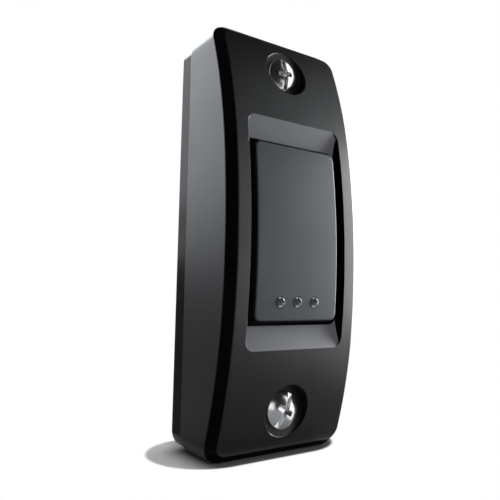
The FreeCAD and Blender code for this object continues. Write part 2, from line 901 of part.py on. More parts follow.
def filter_capacitor_leads():
    """Its two round leads."""
    ends = (board_depth - pin_tail, board_front)
    return Part.makeCompound([rod(capacitor_lead_radius, *ends, *place) for place in capacitor_lead_places()])


def terminal_plate(side):
    """A brass plate on the pocket's floor, with a tab bent up through the floor and the board."""
    half = terminal_plate_size / 2
    x = side * terminal_x
    back = pocket_depth - terminal_plate_thickness
    plate = block(x - half, x + half, back, pocket_depth, terminal_height - half, terminal_height + half)
    inner = side * (terminal_x + half)
    ends = sorted((inner, inner + side * terminal_plate_thickness))
    low = terminal_height - terminal_tab_width / 2
    high = terminal_height + terminal_tab_width / 2
    tab = block(*ends, back, board_front + terminal_tab_tail, low, high)
    hole = terminal_screw_radius + terminal_screw_clearance
    return fused(plate, [tab]).cut(rod(hole, back - overshoot, pocket_depth + overshoot, x, terminal_height))


def terminal_screw(side):
    """The slotted screw that clamps one wire under its head, driven from the back."""
    x = side * terminal_x
    front = pocket_depth - terminal_plate_thickness
    back = front - terminal_screw_head_rise
    head = rod(terminal_screw_head_radius, back, front, x, terminal_height)
    head = head.makeFillet(terminal_screw_edge_round, edges_at_depth(head, back))
    shank_front = pocket_depth + terminal_screw_tail
    shank = rod(terminal_screw_radius, front, shank_front, x, terminal_height)
    low = terminal_height - terminal_slot_width / 2
    high = terminal_height + terminal_slot_width / 2
    slot = block(
        x - terminal_screw_head_radius, x + terminal_screw_head_radius,
        back - overshoot, back + terminal_slot_depth, low, high,
    )
    return head.fuse(shank).cut(slot)


def pieces():
    """Every piece of the button by name."""
    upper_corner, lower_corner = screwed_corners()
    return {
        "front_cover": front_cover(),
        "rear_base": rear_base(),
        "push_button": push_button(),
        "light_pipe": light_pipe(),
        "mounting_screw_top": mounting_screw(screw_height, drive_turn_top),
        "mounting_screw_bottom": mounting_screw(-screw_height, drive_turn_bottom),
        "circuit_board": circuit_board(),
        "board_screw_left": board_screw(upper_corner),
        "board_screw_right": board_screw(lower_corner),
        "switch_body": switch_body(),
        "switch_cover_plate": switch_cover_plate(),
        "switch_plunger": switch_plunger(),
        "switch_dome": switch_dome(),
        "switch_pins": switch_pins(),
        "indicator_led": indicator_led(),
        "led_leads": led_leads(),
        "microcontroller": microcontroller(),
        "microcontroller_leads": microcontroller_leads(),
        "bridge_rectifier": bridge_rectifier(),
        "bridge_rectifier_leads": bridge_rectifier_leads(),
        "signal_transistor": signal_transistor(),
        "signal_transistor_leads": signal_transistor_leads(),
        "chip_resistors": chip_resistors(),
        "filter_capacitor": filter_capacitor(),
        "filter_capacitor_leads": filter_capacitor_leads(),
        "terminal_plate_left": terminal_plate(-1),
        "terminal_plate_right": terminal_plate(1),
        "terminal_screw_left": terminal_screw(-1),
        "terminal_screw_right": terminal_screw(1),
    }


os.makedirs("parts", exist_ok=True)
for name, shape in pieces().items():
    shape.exportStep(f"parts/{name}.step")
    print(f"{name}: {len(shape.Solids)} solids, {shape.Volume:.2f} mm3, valid {shape.isValid()}")
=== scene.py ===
# %% [markdown]
# # A garage door wall button, dressed in Blender
#
# The button is a narrow black housing with a bowed face. A smoke-grey push plate rocks in a scooped recess,
# and two plated screws hold the unit on the wall. Its solids come packed from CAD and stay where they are.
# This lesson rebuilds the pieces that show, with fine edges, gives every solid a finish, and lights the
# whole on a pale floor as in the photograph.
# Positions are worked out in millimetres and become metres when a mesh is made. +X is right, +Y goes into
# the wall, +Z is up, and a depth is measured from the wall plane towards the front, so that y = -depth.

import math

import bmesh
import bpy
import numpy as np
from mathutils import Matrix, Vector
from mathutils.geometry import delaunay_2d_cdt


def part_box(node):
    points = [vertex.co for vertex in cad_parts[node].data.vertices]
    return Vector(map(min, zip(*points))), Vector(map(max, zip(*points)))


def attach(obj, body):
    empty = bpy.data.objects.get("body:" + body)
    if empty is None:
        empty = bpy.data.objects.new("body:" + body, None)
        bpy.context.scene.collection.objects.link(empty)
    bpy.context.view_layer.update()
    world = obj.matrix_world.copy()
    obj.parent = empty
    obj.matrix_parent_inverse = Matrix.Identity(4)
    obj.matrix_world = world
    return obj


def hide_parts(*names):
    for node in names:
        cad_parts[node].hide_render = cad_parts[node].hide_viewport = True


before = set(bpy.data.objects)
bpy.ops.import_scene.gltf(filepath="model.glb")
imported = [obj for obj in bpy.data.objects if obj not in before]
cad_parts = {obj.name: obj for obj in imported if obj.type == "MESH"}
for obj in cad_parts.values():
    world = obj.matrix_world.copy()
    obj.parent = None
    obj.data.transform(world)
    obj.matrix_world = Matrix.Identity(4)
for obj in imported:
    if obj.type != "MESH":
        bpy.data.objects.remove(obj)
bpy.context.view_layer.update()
MM = 0.001


def new_object(name, data):
    """An object that stands in the scene."""
    made = bpy.data.objects.new(name, data)
    bpy.context.scene.collection.objects.link(made)
    return made


# %% [markdown]
# The camera stands to the left of the unit and a little below its middle, close by, which is why the near
# edge of the housing looks so much taller than the far one. Its turn, place and lens were solved from the
# corners and screw heads of the photograph, so they are written down as found.

# %% Camera
FOCAL_PIXELS = 543.33
FRAME_PIXELS = 500
CENTRE_PIXELS = (254.98, 211.59)
YAW, PITCH, ROLL = -34.517, -9.420, 0.507
CAMERA_OFFSET = Vector((-4.298, 8.220, 150.861))
SENSOR_WIDTH = 36
CLIP_RANGE = (0.005, 20)


def turned(degrees, axis):
    """A turn about one axis."""
    return Matrix.Rotation(math.radians(degrees), 3, axis)


# The rows are the camera's right, down and forward directions.
upright = Matrix(((1, 0, 0), (0, 0, -1), (0, 1, 0)))
rows = turned(ROLL, "Z") @ turned(PITCH, "X") @ upright @ turned(-YAW, "Z")
place = -(rows.transposed() @ CAMERA_OFFSET) * MM
axes = Matrix((rows[0], -rows[1], -rows[2])).transposed()
camera = new_object("camera", bpy.data.cameras.new("camera"))
camera.matrix_world = Matrix.Translation(place) @ axes.to_4x4()
camera.data.sensor_width = SENSOR_WIDTH
camera.data.lens = FOCAL_PIXELS / FRAME_PIXELS * SENSOR_WIDTH
camera.data.shift_x = (FRAME_PIXELS / 2 - CENTRE_PIXELS[0]) / FRAME_PIXELS
camera.data.shift_y = (CENTRE_PIXELS[1] - FRAME_PIXELS / 2) / FRAME_PIXELS
camera.data.clip_start, camera.data.clip_end = CLIP_RANGE
bpy.context.scene.camera = camera
bpy.context.scene.view_settings.view_transform = "Standard"
print("camera stands at", [round(v / MM, 1) for v in place], "mm, lens", round(camera.data.lens, 1))

# %% [markdown]
# Every finish is a small node tree. A wire is one output of a node, and sums and products of wires add their
# Math nodes by themselves, which keeps the shader maths readable. A finish owns its tree and sets the numbers
# that are the same all over.

# %% Shader helpers
class Wire:
    """One output of a shader node that can be used in sums."""

    def __init__(self, tree, socket):
        self.tree, self.socket = tree, socket

    def work(self, operation, first, second):
        """A Math node on two values, either of which may be a plain number."""
        return add_node(self.tree, "Math", {"operation": operation}, _0=first, _1=second)

    def __add__(self, other):
        return self.work("ADD", self, other)

    def __mul__(self, other):
        return self.work("MULTIPLY", self, other)

    def __rsub__(self, other):
        return self.work("SUBTRACT", other, self)


def plug(tree, socket, value):
    """Links a wire to a socket, or writes a plain value on it."""
    if isinstance(value, Wire):
        tree.links.new(value.socket, socket)
    else:
        socket.default_value = value


def add_node(tree, kind, settings=(), out=0, **sockets):
    """Adds a node, its sockets given by name or, as in _1, by number. Returns one of its outputs."""
    node = tree.nodes.new("ShaderNode" + kind)
    for name, value in dict(settings).items():
        setattr(node, name, value)
    for name, value in sockets.items():
        key = int(name[1:]) if name[1:].isdigit() else name.replace("_", " ")
        plug(tree, node.inputs[key], value)
    return Wire(tree, node.outputs[out])


class Finish:
    """A material in the making, with its surface shader."""

    def __init__(self, name, colour, roughness, **numbers):
        self.material = bpy.data.materials.new(name)
        self.material.use_nodes = True
        self.tree = self.material.node_tree
        self.shader = self.tree.nodes["Principled BSDF"]
        self.feed("Base Color", (*colour, 1)).feed("Roughness", roughness)
        for socket, number in numbers.items():
            self.feed(socket.replace("_", " "), number)

    def node(self, kind, settings=(), out=0, **sockets):
        """Adds any other node to the tree."""
        return add_node(self.tree, kind, settings, out, **sockets)

    def feed(self, socket, value):
        """Sends a wire or a number to a socket of the surface shader."""
        plug(self.tree, self.shader.inputs[socket], value)
        return self

    def place(self):
        """Where a point lies on the piece, in metres."""
        return self.node("TexCoord", out="Object")

    def noise(self, per_mm, detail=2.0):
        """Even noise from 0 to 1 with so many blotches to a millimetre."""
        return self.node("TexNoise", Vector=self.place(), Scale=per_mm / MM, Detail=detail)

    def speckle(self, per_mm, swing, least, detail=2.0):
        """Lets the roughness swing with noise, from a least value upwards."""
        return self.feed("Roughness", self.noise(per_mm, detail) * swing + least)

    def bump(self, height, depth_mm, strength):
        """Fine relief of a surface."""
        normal = self.node("Bump", Height=height, Distance=depth_mm * MM, Strength=strength)
        return self.feed("Normal", normal)

# %% [markdown]
# A mesh is gathered as rows of points. Strips join rows with four-sided faces, which suits walls and rounded
# edges. A sheet fills a region between closed rows with triangles, after laying points inside it, and suits
# the bowed faces with their openings. Depths are given as numbers or as functions of place.

# %% Rows, strips and sheets
SHEET_STEP = (2.4, 1.2)
BORDER_CLEARANCE = 0.6
SAME_PLACE = 1e-6


class Skin:
    """A mesh in the making: points in millimetres, faces, and which finish each face takes."""

    def __init__(self):
        self.points, self.faces, self.marks, self.crisp = [], [], [], []

    def row(self, x, depth, z):
        """Adds a row of points and returns their numbers."""
        start = len(self.points)
        x, depth, z = np.broadcast_arrays(x, depth, z)
        self.points += [(float(a), -float(b), float(c)) for a, b, c in zip(x, depth, z)]
        return list(range(start, len(self.points)))

    def laid(self, places, depth):
        """Adds a row over places, at a depth or at what a function of place gives."""
        x, z = places[:2]
        return self.row(x, depth(x, z) if callable(depth) else depth, z)

    def face(self, corners, mark=0):
        """Adds one face."""
        self.faces.append(tuple(corners))
        self.marks.append(mark)

    def strips(self, rows, mark=0, closed=True):
        """Four-sided faces between each row and the next, which is as long."""
        for first, second in zip(rows, rows[1:]):
            count = len(first)
            for k in range(count if closed else count - 1):
                after = (k + 1) % count
                self.face((first[k], first[after], second[after], second[k]), mark)

    def closed(self, rows):
        """Faces between the rows, and one over each end."""
        self.strips(rows)
        self.face(rows[0])
        self.face(rows[-1])

    def spin(self, profile, x, z, count=64):
        """Pairs of radius and depth spun about a line into the wall, with faces between them."""
        rows = [self.laid(circle(radius, x, z, count), depth) for radius, depth in profile]
        self.strips(rows)
        return rows

    def sheet(self, loops, inside, depth, mark=0, crisp=False, step=SHEET_STEP):
        """Triangles over a region between closed loops, with more points inside, laid at a depth.

        The shading of a crisp sheet stops at its border.
        """
        if crisp:
            self.crisp += [(a, b) for loop in loops for a, b in zip(loop, loop[1:] + loop[:1])]
        numbers = [n for loop in loops for n in loop]
        flat = [Vector((self.points[n][0], self.points[n][2])) for n in numbers]
        edges = []
        for loop in loops:
            start = len(edges)
            edges += [(start + k, start + (k + 1) % len(loop)) for k in range(len(loop))]
        low = np.min([tuple(p) for p in flat], axis=0)
        high = np.max([tuple(p) for p in flat], axis=0)
        grid_x, grid_z = np.meshgrid(*(np.arange(*span) for span in zip(low, high, step)))
        keep = inside(grid_x, grid_z) > BORDER_CLEARANCE * min(step)
        laid = grid_x[keep], grid_z[keep]
        numbers += self.laid(laid, depth)
        flat += [Vector(pair) for pair in zip(*laid)]
        _, _, triangles, sources, _, _ = delaunay_2d_cdt(flat, edges, [], 0, SAME_PLACE)
        for triangle in triangles:
            corners = [numbers[sources[k][0]] for k in triangle]
            middle = np.mean([self.points[n] for n in corners], axis=0)
            if inside(middle[0], middle[2]) > 0:
                self.face(corners, mark)

# %% [markdown]
# An outline is worked out as points with the direction that faces outwards. A plate is a width, a height and
# the radius of its corners, and a region is a function that tells how far a place lies inside it.

# %% Outlines and regions
def outline(width, height, corner, step=1.2, arc=10):
    """Points round a plate with round corners: x, z and the direction that faces outwards."""
    half_x, half_z = width / 2 - corner, height / 2 - corner
    middles = ((half_x, half_z), (-half_x, half_z), (-half_x, -half_z), (half_x, -half_z))
    found = []
    for turn, (cx, cz) in enumerate(middles):
        for k in range(arc + 1):
            angle = (turn + k / arc) * math.pi / 2
            out_x, out_z = math.cos(angle), math.sin(angle)
            found.append((cx + corner * out_x, cz + corner * out_z, out_x, out_z))
        last_x, last_z = found[-1][:2]
        run = 2 * (half_z if turn % 2 else half_x)
        pieces = max(1, round(run / step))
        for share in np.arange(1, pieces) / pieces:
            found.append((last_x - out_z * run * share, last_z + out_x * run * share, out_x, out_z))
    return np.array(found).T


def circle(radius, x, z, count):
    """Points round a circle."""
    angle = np.arange(count) * 2 * np.pi / count
    return np.array((x + radius * np.cos(angle), z + radius * np.sin(angle)))


def within_plate(x, z, width, height, corner):
    """How far a place lies inside a plate with round corners."""
    dx = np.abs(x) - (width / 2 - corner)
    dz = np.abs(z) - (height / 2 - corner)
    outside = np.hypot(np.maximum(dx, 0), np.maximum(dz, 0))
    return corner - outside - np.minimum(np.maximum(dx, dz), 0)


def grown(plate, margin):
    """A plate with its edge moved outwards."""
    width, height, corner = plate
    return width + 2 * margin, height + 2 * margin, corner + margin


def between(outer, inner):
    """The region inside one plate and outside another."""
    return lambda x, z: np.minimum(within_plate(x, z, *outer), -within_plate(x, z, *inner))


def clear_of(region, holes):
    """A region without its round holes, each an x, a z and a radius."""
    return lambda x, z: np.min(
        [region(x, z)] + [np.hypot(x - mid_x, z - mid_z) - radius for mid_x, mid_z, radius in holes], axis=0)


def around(shape, inset):
    """Places round an outline, moved inwards."""
    return shape[0] - inset * shape[2], shape[1] - inset * shape[3]


def turned_edge(before, edge, after, count=5):
    """A rounded edge from one point towards a second and on to a third."""
    return [((1 - u) ** 2 * before + 2 * u * (1 - u) * edge + u**2 * after) for u in np.linspace(0, 1, count)]

# %% [markdown]
# A skin becomes a mesh in metres: doubled points are merged, faces are turned outwards, and edges between
# faces that meet at more than the crease angle stay sharp. Face-weighted normals let narrow rounded edges
# catch the light while the wide faces beside them stay smooth. A piece moves with its body and stands for
# the solids that it dresses.

# %% From a skin to a piece
MERGE_DISTANCE = 1e-7
CREASE = 35.0


def new_mesh(name, points, faces, finishes=()):
    """A mesh from points in millimetres."""
    mesh = bpy.data.meshes.new(name)
    mesh.from_pydata([Vector(point) * MM for point in points], [], faces)
    for finish in finishes:
        mesh.materials.append(finish.material)
    return mesh


def solid(name, skin, finishes=()):
    """Makes an object from a closed skin."""
    mesh = new_mesh(name, skin.points, skin.faces, finishes)
    mesh.polygons.foreach_set("material_index", skin.marks)
    shell = bmesh.new()
    shell.from_mesh(mesh)
    shell.verts.ensure_lookup_table()
    for a, b in skin.crisp:
        shell.edges.get((shell.verts[a], shell.verts[b])).smooth = False
    bmesh.ops.remove_doubles(shell, verts=shell.verts, dist=MERGE_DISTANCE)
    bmesh.ops.recalc_face_normals(shell, faces=shell.faces)
    for edge in shell.edges:
        if len(edge.link_faces) == 2 and edge.calc_face_angle() > math.radians(CREASE):
            edge.smooth = False
    shell.to_mesh(mesh)
    shell.free()
    return new_object(name, mesh)


def stand_in(piece, body, node):
    """Shades a piece smoothly and lets it stand for a CAD node, on its body."""
    mesh = piece.data
    mesh.polygons.foreach_set("use_smooth", [True] * len(mesh.polygons))
    piece.modifiers.new("face_weighted_normals", "WEIGHTED_NORMAL").keep_sharp = True
    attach(piece, body)
    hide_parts(node)
    print(f"{piece.name}: {len(mesh.vertices)} points, {len(mesh.polygons)} faces")
    return piece

# %% [markdown]
# The housing's face is bowed from top to bottom: one wide arc over the middle and a tighter arc, tangent to
# it, at each end. The mesh uses the same three arcs as the solid, so both have one outline. The overall
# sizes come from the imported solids, and the rest are the drawing's own.

# %% Sizes of the housing
cover_low, cover_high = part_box("front_cover")
HOUSING_WIDTH = (cover_high.x - cover_low.x) / MM
HOUSING_HEIGHT = (cover_high.z - cover_low.z) / MM
CORNER = 4.85
CROWN_DEPTH = -cover_low.y / MM
COVER_BACK = -cover_high.y / MM
EDGE_DEPTH = 17.7
CROWN_RADIUS = 190.0
CROWN_HALF_SPAN = 20.0
BEVEL = 2.15
COVER_WALL = 2.0
FACE_WALL = 2.2

HOUSING_PLATE = (HOUSING_WIDTH, HOUSING_HEIGHT, CORNER)
HALF_HEIGHT = HOUSING_HEIGHT / 2
crown_angle = math.asin(CROWN_HALF_SPAN / CROWN_RADIUS)
crown_centre = CROWN_DEPTH - CROWN_RADIUS
join_depth = crown_centre + CROWN_RADIUS * math.cos(crown_angle)
chord = (HALF_HEIGHT - CROWN_HALF_SPAN, join_depth - EDGE_DEPTH)
end_radius = math.hypot(*chord) / (2 * math.sin(math.atan2(chord[1], chord[0]) - crown_angle))
end_centre = (CROWN_HALF_SPAN - end_radius * math.sin(crown_angle),
              join_depth - end_radius * math.cos(crown_angle))


def bow_depth(height, inset=0.0):
    """Depth of the bowed face at a height, or of its copy an inset nearer to the wall."""
    reach = np.abs(height)
    middle = crown_centre + np.sqrt((CROWN_RADIUS - inset) ** 2 - reach**2)
    end = end_centre[1] + np.sqrt((end_radius - inset) ** 2 - (reach - end_centre[0]) ** 2)
    return np.where(reach <= CROWN_HALF_SPAN * (CROWN_RADIUS - inset) / CROWN_RADIUS, middle, end)


def bow_slope(height):
    """How fast the face's depth grows with height."""
    step = 0.01
    return (bow_depth(height + step) - bow_depth(height - step)) / (2 * step)


def behind_face(distance=0.0, inset=0.0):
    """The depth at a distance behind the bowed face or its copy, as a function of place."""
    return lambda x, z: bow_depth(z, inset) - distance


print(f"housing {HOUSING_WIDTH:.1f} x {HOUSING_HEIGHT:.1f} mm, face {EDGE_DEPTH} to {CROWN_DEPTH:.1f} deep")

# %% [markdown]
# The cover is moulded in black plastic with a satin skin, finer than leather grain. Real grain is a relief of
# a few microns, so it is a bump with small noise, and the gloss varies a little with it. The bevel and the
# walls of the recess carry painted shade: a near-black colour that hardly reflects. The scoops are coarser
# and greyer, as in the photograph. The base is the same plastic from another mould, smoother and with weaker
# reflections.

# %% Black plastics
GRAIN_PER_MM = 4.0
CLOUD_PER_MM = 0.12
GRAIN_SWING = 0.05
CLOUD_SWING = 0.06
GRAIN_STRENGTH = 0.6


def satin_plastic(name, colour, roughness, specular, grain_mm=0.004):
    """Moulded plastic with a fine grain, its roughness varying round a value."""
    finish = Finish(name, colour, roughness, Specular_IOR_Level=specular)
    grain = finish.noise(GRAIN_PER_MM, detail=3.0)
    cloud = finish.noise(CLOUD_PER_MM)
    least = roughness - (GRAIN_SWING + CLOUD_SWING) / 2
    finish.feed("Roughness", cloud * CLOUD_SWING + grain * GRAIN_SWING + least)
    return finish.bump(grain, grain_mm, GRAIN_STRENGTH)


cover_black = satin_plastic("cover_black", (0.0022, 0.0022, 0.0024), 0.36, 0.42)
# Painted shade: a near-black copy of the cover plastic that hardly reflects, for the bevel and the recess
# walls.
painted_shade_black = satin_plastic("painted_shade_black", (0.0008, 0.0008, 0.0008), 0.5, 0.03)
scoop_grey = satin_plastic("scoop_grey", (0.084, 0.086, 0.094), 0.45, 0.14, 0.006)
base_black = satin_plastic("base_black", (0.0014, 0.0014, 0.0016), 0.2, 0.09)
print("materials so far:", bpy.data.materials.keys())

# %% [markdown]
# The cover's outside is drawn as rows round its outline: up the side wall, over the flat bevel, and onto the
# bowed face. At each corner of the bevel the rows follow a small curve, because no moulded edge is sharp,
# and that curve is the thin bright line that the photograph shows.

# %% Outside of the cover
EDGE_TURN = 0.16
REAR_TURN = 0.25


def cover_outside(skin, sides, shape):
    """Rows from the rear rim up to the bowed face. Returns the first and the last row."""
    wall_depth = bow_depth(shape[1]) - BEVEL
    slope = -shape[3] * bow_slope(shape[1])
    bevel_inset = BEVEL / np.sqrt(1 + slope**2)
    face_depth = bow_depth(around(shape, bevel_inset)[1])
    outer = np.array((np.zeros_like(wall_depth), wall_depth))
    inner = np.array((bevel_inset, face_depth))
    across = (inner - outer) / np.linalg.norm(inner - outer, axis=0)
    onward = np.array((np.ones_like(slope), slope)) / np.sqrt(1 + slope**2)
    back = np.array((0.0, COVER_BACK))[:, None] + np.zeros_like(outer)
    inward, forward = np.array(((1.0,), (0.0,))), np.array(((0.0,), (1.0,)))
    profile = turned_edge(back + REAR_TURN * inward, back, back + REAR_TURN * forward)
    wall = turned_edge(outer - EDGE_TURN * forward, outer, outer + EDGE_TURN * across)
    rim = turned_edge(inner - EDGE_TURN * across, inner, inner + EDGE_TURN * onward)

    def lay(piece, places):
        return [piece.laid(around(shape, inset), depth) for inset, depth in places]

    sides.strips(lay(sides, profile + wall))
    rear, edge, *crown = lay(skin, profile[:1] + wall[-1:] + rim)
    # Painted shade: the flat bevel takes the near-black colour (mark 1).
    skin.strips([edge, crown[0]], mark=1)
    skin.strips(crown)
    return rear, crown[-1]


housing_outline = outline(*HOUSING_PLATE)
cover_skin, sides_skin = Skin(), Skin()
rear_row, crown_row = cover_outside(cover_skin, sides_skin, housing_outline)
print("faces on side walls and bevel:", len(sides_skin.faces), len(cover_skin.faces))

# %% [markdown]
# The push plate works in a window, and above and below it the face is scooped down to the window's edge. A
# scoop is a ramp with a slight dish, and a soft fillet joins it to the side walls. Its depth is a function
# of place, so a sheet of triangles over the scoop can follow it exactly. The fillet is an ellipse: as wide
# everywhere, but never taller than the wall that it climbs.

# %% Recess
RECESS_PLATE = RECESS_WIDTH, RECESS_HEIGHT, RECESS_CORNER = (28.4, 54.7, 2.4)
WINDOW_HEIGHT = 44.0
WINDOW_CORNER = 2.0
SCOOP_DEPTH = 2.7
SCOOP_DISH = 0.25
SCOOP_FILLET = 0.9
STEEP = 0.7
WELL_DEPTH = 4.9
WELL_WALL = 1.5
RIM_TURN = 0.06
RIM_DROP = 0.03

WINDOW_PLATE = (RECESS_WIDTH, WINDOW_HEIGHT, WINDOW_CORNER)
SCOOP_START = RECESS_HEIGHT / 2
SCOOP_STOP = WINDOW_HEIGHT / 2
SIDE_STOP = SCOOP_STOP - WINDOW_CORNER
OPEN_END = 2.0
FILLET_ROWS = 11
SCOOP_STEP = (1.0, 0.4)


def ramp_depth(height):
    """Depth of the dished ramp at a height."""
    share = (SCOOP_START - np.abs(height)) / (SCOOP_START - SCOOP_STOP)
    ends = bow_depth(SCOOP_START) - RIM_DROP, bow_depth(SCOOP_STOP) - SCOOP_DEPTH
    return ends[0] + (ends[1] - ends[0]) * share - 4 * SCOOP_DISH * share * (1 - share)


def scoop_depth(x, height):
    """Depth of the scoop, its side fillets included."""
    ramp = ramp_depth(height)
    wall = np.maximum(bow_depth(height) - RIM_DROP - ramp, 0)
    inset = within_plate(x, height, RECESS_WIDTH, RECESS_HEIGHT + OPEN_END, RECESS_CORNER)
    inset = np.clip(inset, 0, SCOOP_FILLET)
    climb = np.minimum(wall, SCOOP_FILLET)
    return ramp + climb * (1 - np.sqrt(1 - (1 - inset / SCOOP_FILLET) ** 2))


def stretch(start, stop, count):
    """Points from one place towards another, the last one left out."""
    share = np.arange(count) / count
    return np.array([a + (b - a) * share for a, b in zip(start, stop)])


def recess_row(inset):
    """Round one end of the recess, moved inwards: up the right side, over the top and down the left."""
    edge_x, top_z = RECESS_WIDTH / 2 - inset, SCOOP_START - inset
    turn_x, turn_z = RECESS_WIDTH / 2 - RECESS_CORNER, SCOOP_START - RECESS_CORNER
    low_z = SIDE_STOP + math.sqrt(max(WINDOW_CORNER**2 - (WINDOW_CORNER - inset) ** 2, 0))
    right = stretch((edge_x, low_z), (edge_x, turn_z), 8)
    corner = circle(RECESS_CORNER - inset, turn_x, turn_z, 40)[:, :10]
    top = stretch((turn_x, top_z), (0, top_z), 10)
    half = np.hstack((right, corner, top))
    return np.hstack((half, ((0.0,), (top_z,)), half[:, ::-1] * ((-1.0,), (1.0,))))


def scoop_floor(sign):
    """The region of one scoop that its side fillets leave."""
    inner = grown(RECESS_PLATE, -WINDOW_CORNER)
    return lambda x, z: np.minimum(within_plate(x, z, *inner), sign * z - SCOOP_STOP)


def mark_steep(skin, first):
    """Gives the steep faces from a number onwards the painted shade of the walls."""
    for number in range(first, len(skin.faces)):
        a, b, c = (Vector(skin.points[n]) for n in skin.faces[number][:3])
        if abs((b - a).cross(c - a).normalized().x) > STEEP:
            skin.marks[number] = 1


def cover_recess(skin):
    """The recess with its scoops and window. Returns its rim and the row at its back."""
    face_row, back_row = [], []
    side_count = round(2 * SIDE_STOP)
    well_back = behind_face(WELL_DEPTH)
    insets = WINDOW_CORNER * (1 - np.cos(np.linspace(0, math.pi / 2, FILLET_ROWS)))
    for sign in (1, -1):
        def lay(row, depth):
            return skin.laid(sign * row, depth)

        side = stretch((RECESS_WIDTH / 2, -SIDE_STOP), (RECESS_WIDTH / 2, SIDE_STOP), side_count)
        on_face = lay(np.hstack((side + ((RIM_TURN,), (0,)), recess_row(-RIM_TURN))), behind_face())
        rim = lay(np.hstack((side, recess_row(0.0))), behind_face(RIM_DROP))
        # Mark 1 is painted shade: the rim along the sides, the walls and the steep fillet faces.
        skin.strips([on_face[: side_count + 1], rim[: side_count + 1]], mark=1, closed=False)
        skin.strips([on_face[side_count:], rim[side_count:]], mark=2, closed=False)
        face_row += on_face[:-1]
        side_back = lay(side, well_back)
        corner_back = lay(recess_row(0.0)[:, :1], well_back)
        skin.strips([rim[: side_count + 1], side_back + corner_back], mark=1, closed=False)
        rows = [rim[side_count:]] + [lay(recess_row(inset), scoop_depth) for inset in insets]
        skin.strips(rows[:2], mark=1, closed=False)
        first_fillet = len(skin.faces)
        skin.strips(rows[1:], mark=2, closed=False)
        mark_steep(skin, first_fillet)
        inner = recess_row(WINDOW_CORNER)
        lip = stretch((inner[0, -1], SCOOP_STOP), (inner[0, 0], SCOOP_STOP), 20)[:, 1:]
        lip_row = lay(lip, scoop_depth)
        skin.sheet([rows[-1] + lip_row], scoop_floor(sign), scoop_depth, mark=2, step=SCOOP_STEP)
        edge = [row[0] for row in rows[1:]] + lip_row[::-1] + [row[-1] for row in rows[:0:-1]]
        edge_x, _, edge_z = np.array([skin.points[n] for n in edge]).T
        edge_back = skin.laid((edge_x, edge_z), well_back)
        skin.strips([edge, edge_back], mark=1, closed=False)
        back_row += side_back + edge_back[:-1]
    return face_row, back_row


recess_rim, recess_back = cover_recess(cover_skin)
print("points round the recess and at its back:", len(recess_rim), len(recess_back))

# %% [markdown]
# Each mounting screw sits in a round counterbore. Its rim gets the same small turned edge as the recess, and
# its floor carries the screw head. Behind the floor a sleeve runs back to the base, so the cover is closed
# and has real walls, as the solid does.

# %% Counterbores
SCREW_HEIGHTS = (41.67, -41.67)
SEAT_DEPTH = 19.3
SEAT_THICKNESS = 1.8
COUNTERBORE = 6.15
CUP_WALL = 1.5
SCREW_HOLE = 2.0
SLEEVE = 3.9
SLEEVE_BACK = 8.0
SEAT_TURN = 0.3
SEAT_SHARE = 0.3


def cover_counterbore(skin, height):
    """One counterbore with its sleeve. Returns its rows on the face and on the inner skin."""
    turned = SEAT_TURN * SEAT_SHARE
    cup, cup_back = COUNTERBORE + CUP_WALL, SEAT_DEPTH - SEAT_THICKNESS
    rows = skin.spin([
        (COUNTERBORE + RIM_TURN, behind_face()), (COUNTERBORE, behind_face(RIM_DROP)),
        (COUNTERBORE, SEAT_DEPTH + SEAT_TURN), (COUNTERBORE - turned, SEAT_DEPTH + turned),
        (COUNTERBORE - SEAT_TURN, SEAT_DEPTH), (SCREW_HOLE, SEAT_DEPTH), (SCREW_HOLE, SLEEVE_BACK),
        (SLEEVE, SLEEVE_BACK), (SLEEVE, cup_back), (cup, cup_back), (cup, behind_face(inset=FACE_WALL)),
    ], 0.0, height)
    return rows[0], rows[-1]


bores = [cover_counterbore(cover_skin, height) for height in SCREW_HEIGHTS]
print("counterbores of radius", COUNTERBORE, "mm:", len(bores))

# %% [markdown]
# The cover's skin is closed with sheets: the bowed face round the recess and the counterbores, the inner skin
# a wall's thickness behind it, and the back of the well that frames the window. The side walls are a piece of
# their own, so that lamps can be linked to them alone.

# %% Front cover
def open_face(edge, recess_margin, bore_radius):
    """The region of the face, clear of the recess and both counterbores."""
    return clear_of(between(grown(HOUSING_PLATE, -edge), grown(RECESS_PLATE, recess_margin)),
                    [(0.0, height, bore_radius) for height in SCREW_HEIGHTS])


def close_cover(skin):
    """Closes the cover's skin with its face, its inner skin and the back of its well."""
    inner_face = behind_face(inset=FACE_WALL)
    skin.sheet([crown_row, recess_rim] + [bore[0] for bore in bores],
               open_face(BEVEL, RIM_TURN, COUNTERBORE + RIM_TURN), behind_face(), crisp=True)
    inner = around(housing_outline, COVER_WALL)
    inner_low = skin.laid(inner, COVER_BACK)
    inner_high = skin.laid(inner, inner_face)
    skin.strips([rear_row, inner_low, inner_high])
    well_plate = grown(RECESS_PLATE, WELL_WALL)
    well = outline(*well_plate)
    well_high = skin.laid(well, inner_face)
    well_low = skin.laid(well, behind_face(WELL_DEPTH))
    skin.strips([well_high, well_low])
    skin.sheet([inner_high, well_high] + [bore[1] for bore in bores],
               open_face(COVER_WALL, WELL_WALL, COUNTERBORE + CUP_WALL), inner_face)
    skin.sheet([well_low, recess_back], between(well_plate, WINDOW_PLATE), behind_face(WELL_DEPTH))


close_cover(cover_skin)
cover_finishes = [cover_black, painted_shade_black, scoop_grey]
cover_face, cover_sides = [
    stand_in(solid(name, skin, cover_finishes), "housing", "front_cover")
    for name, skin in (("front_cover_face", cover_skin), ("front_cover_sides", sides_skin))]
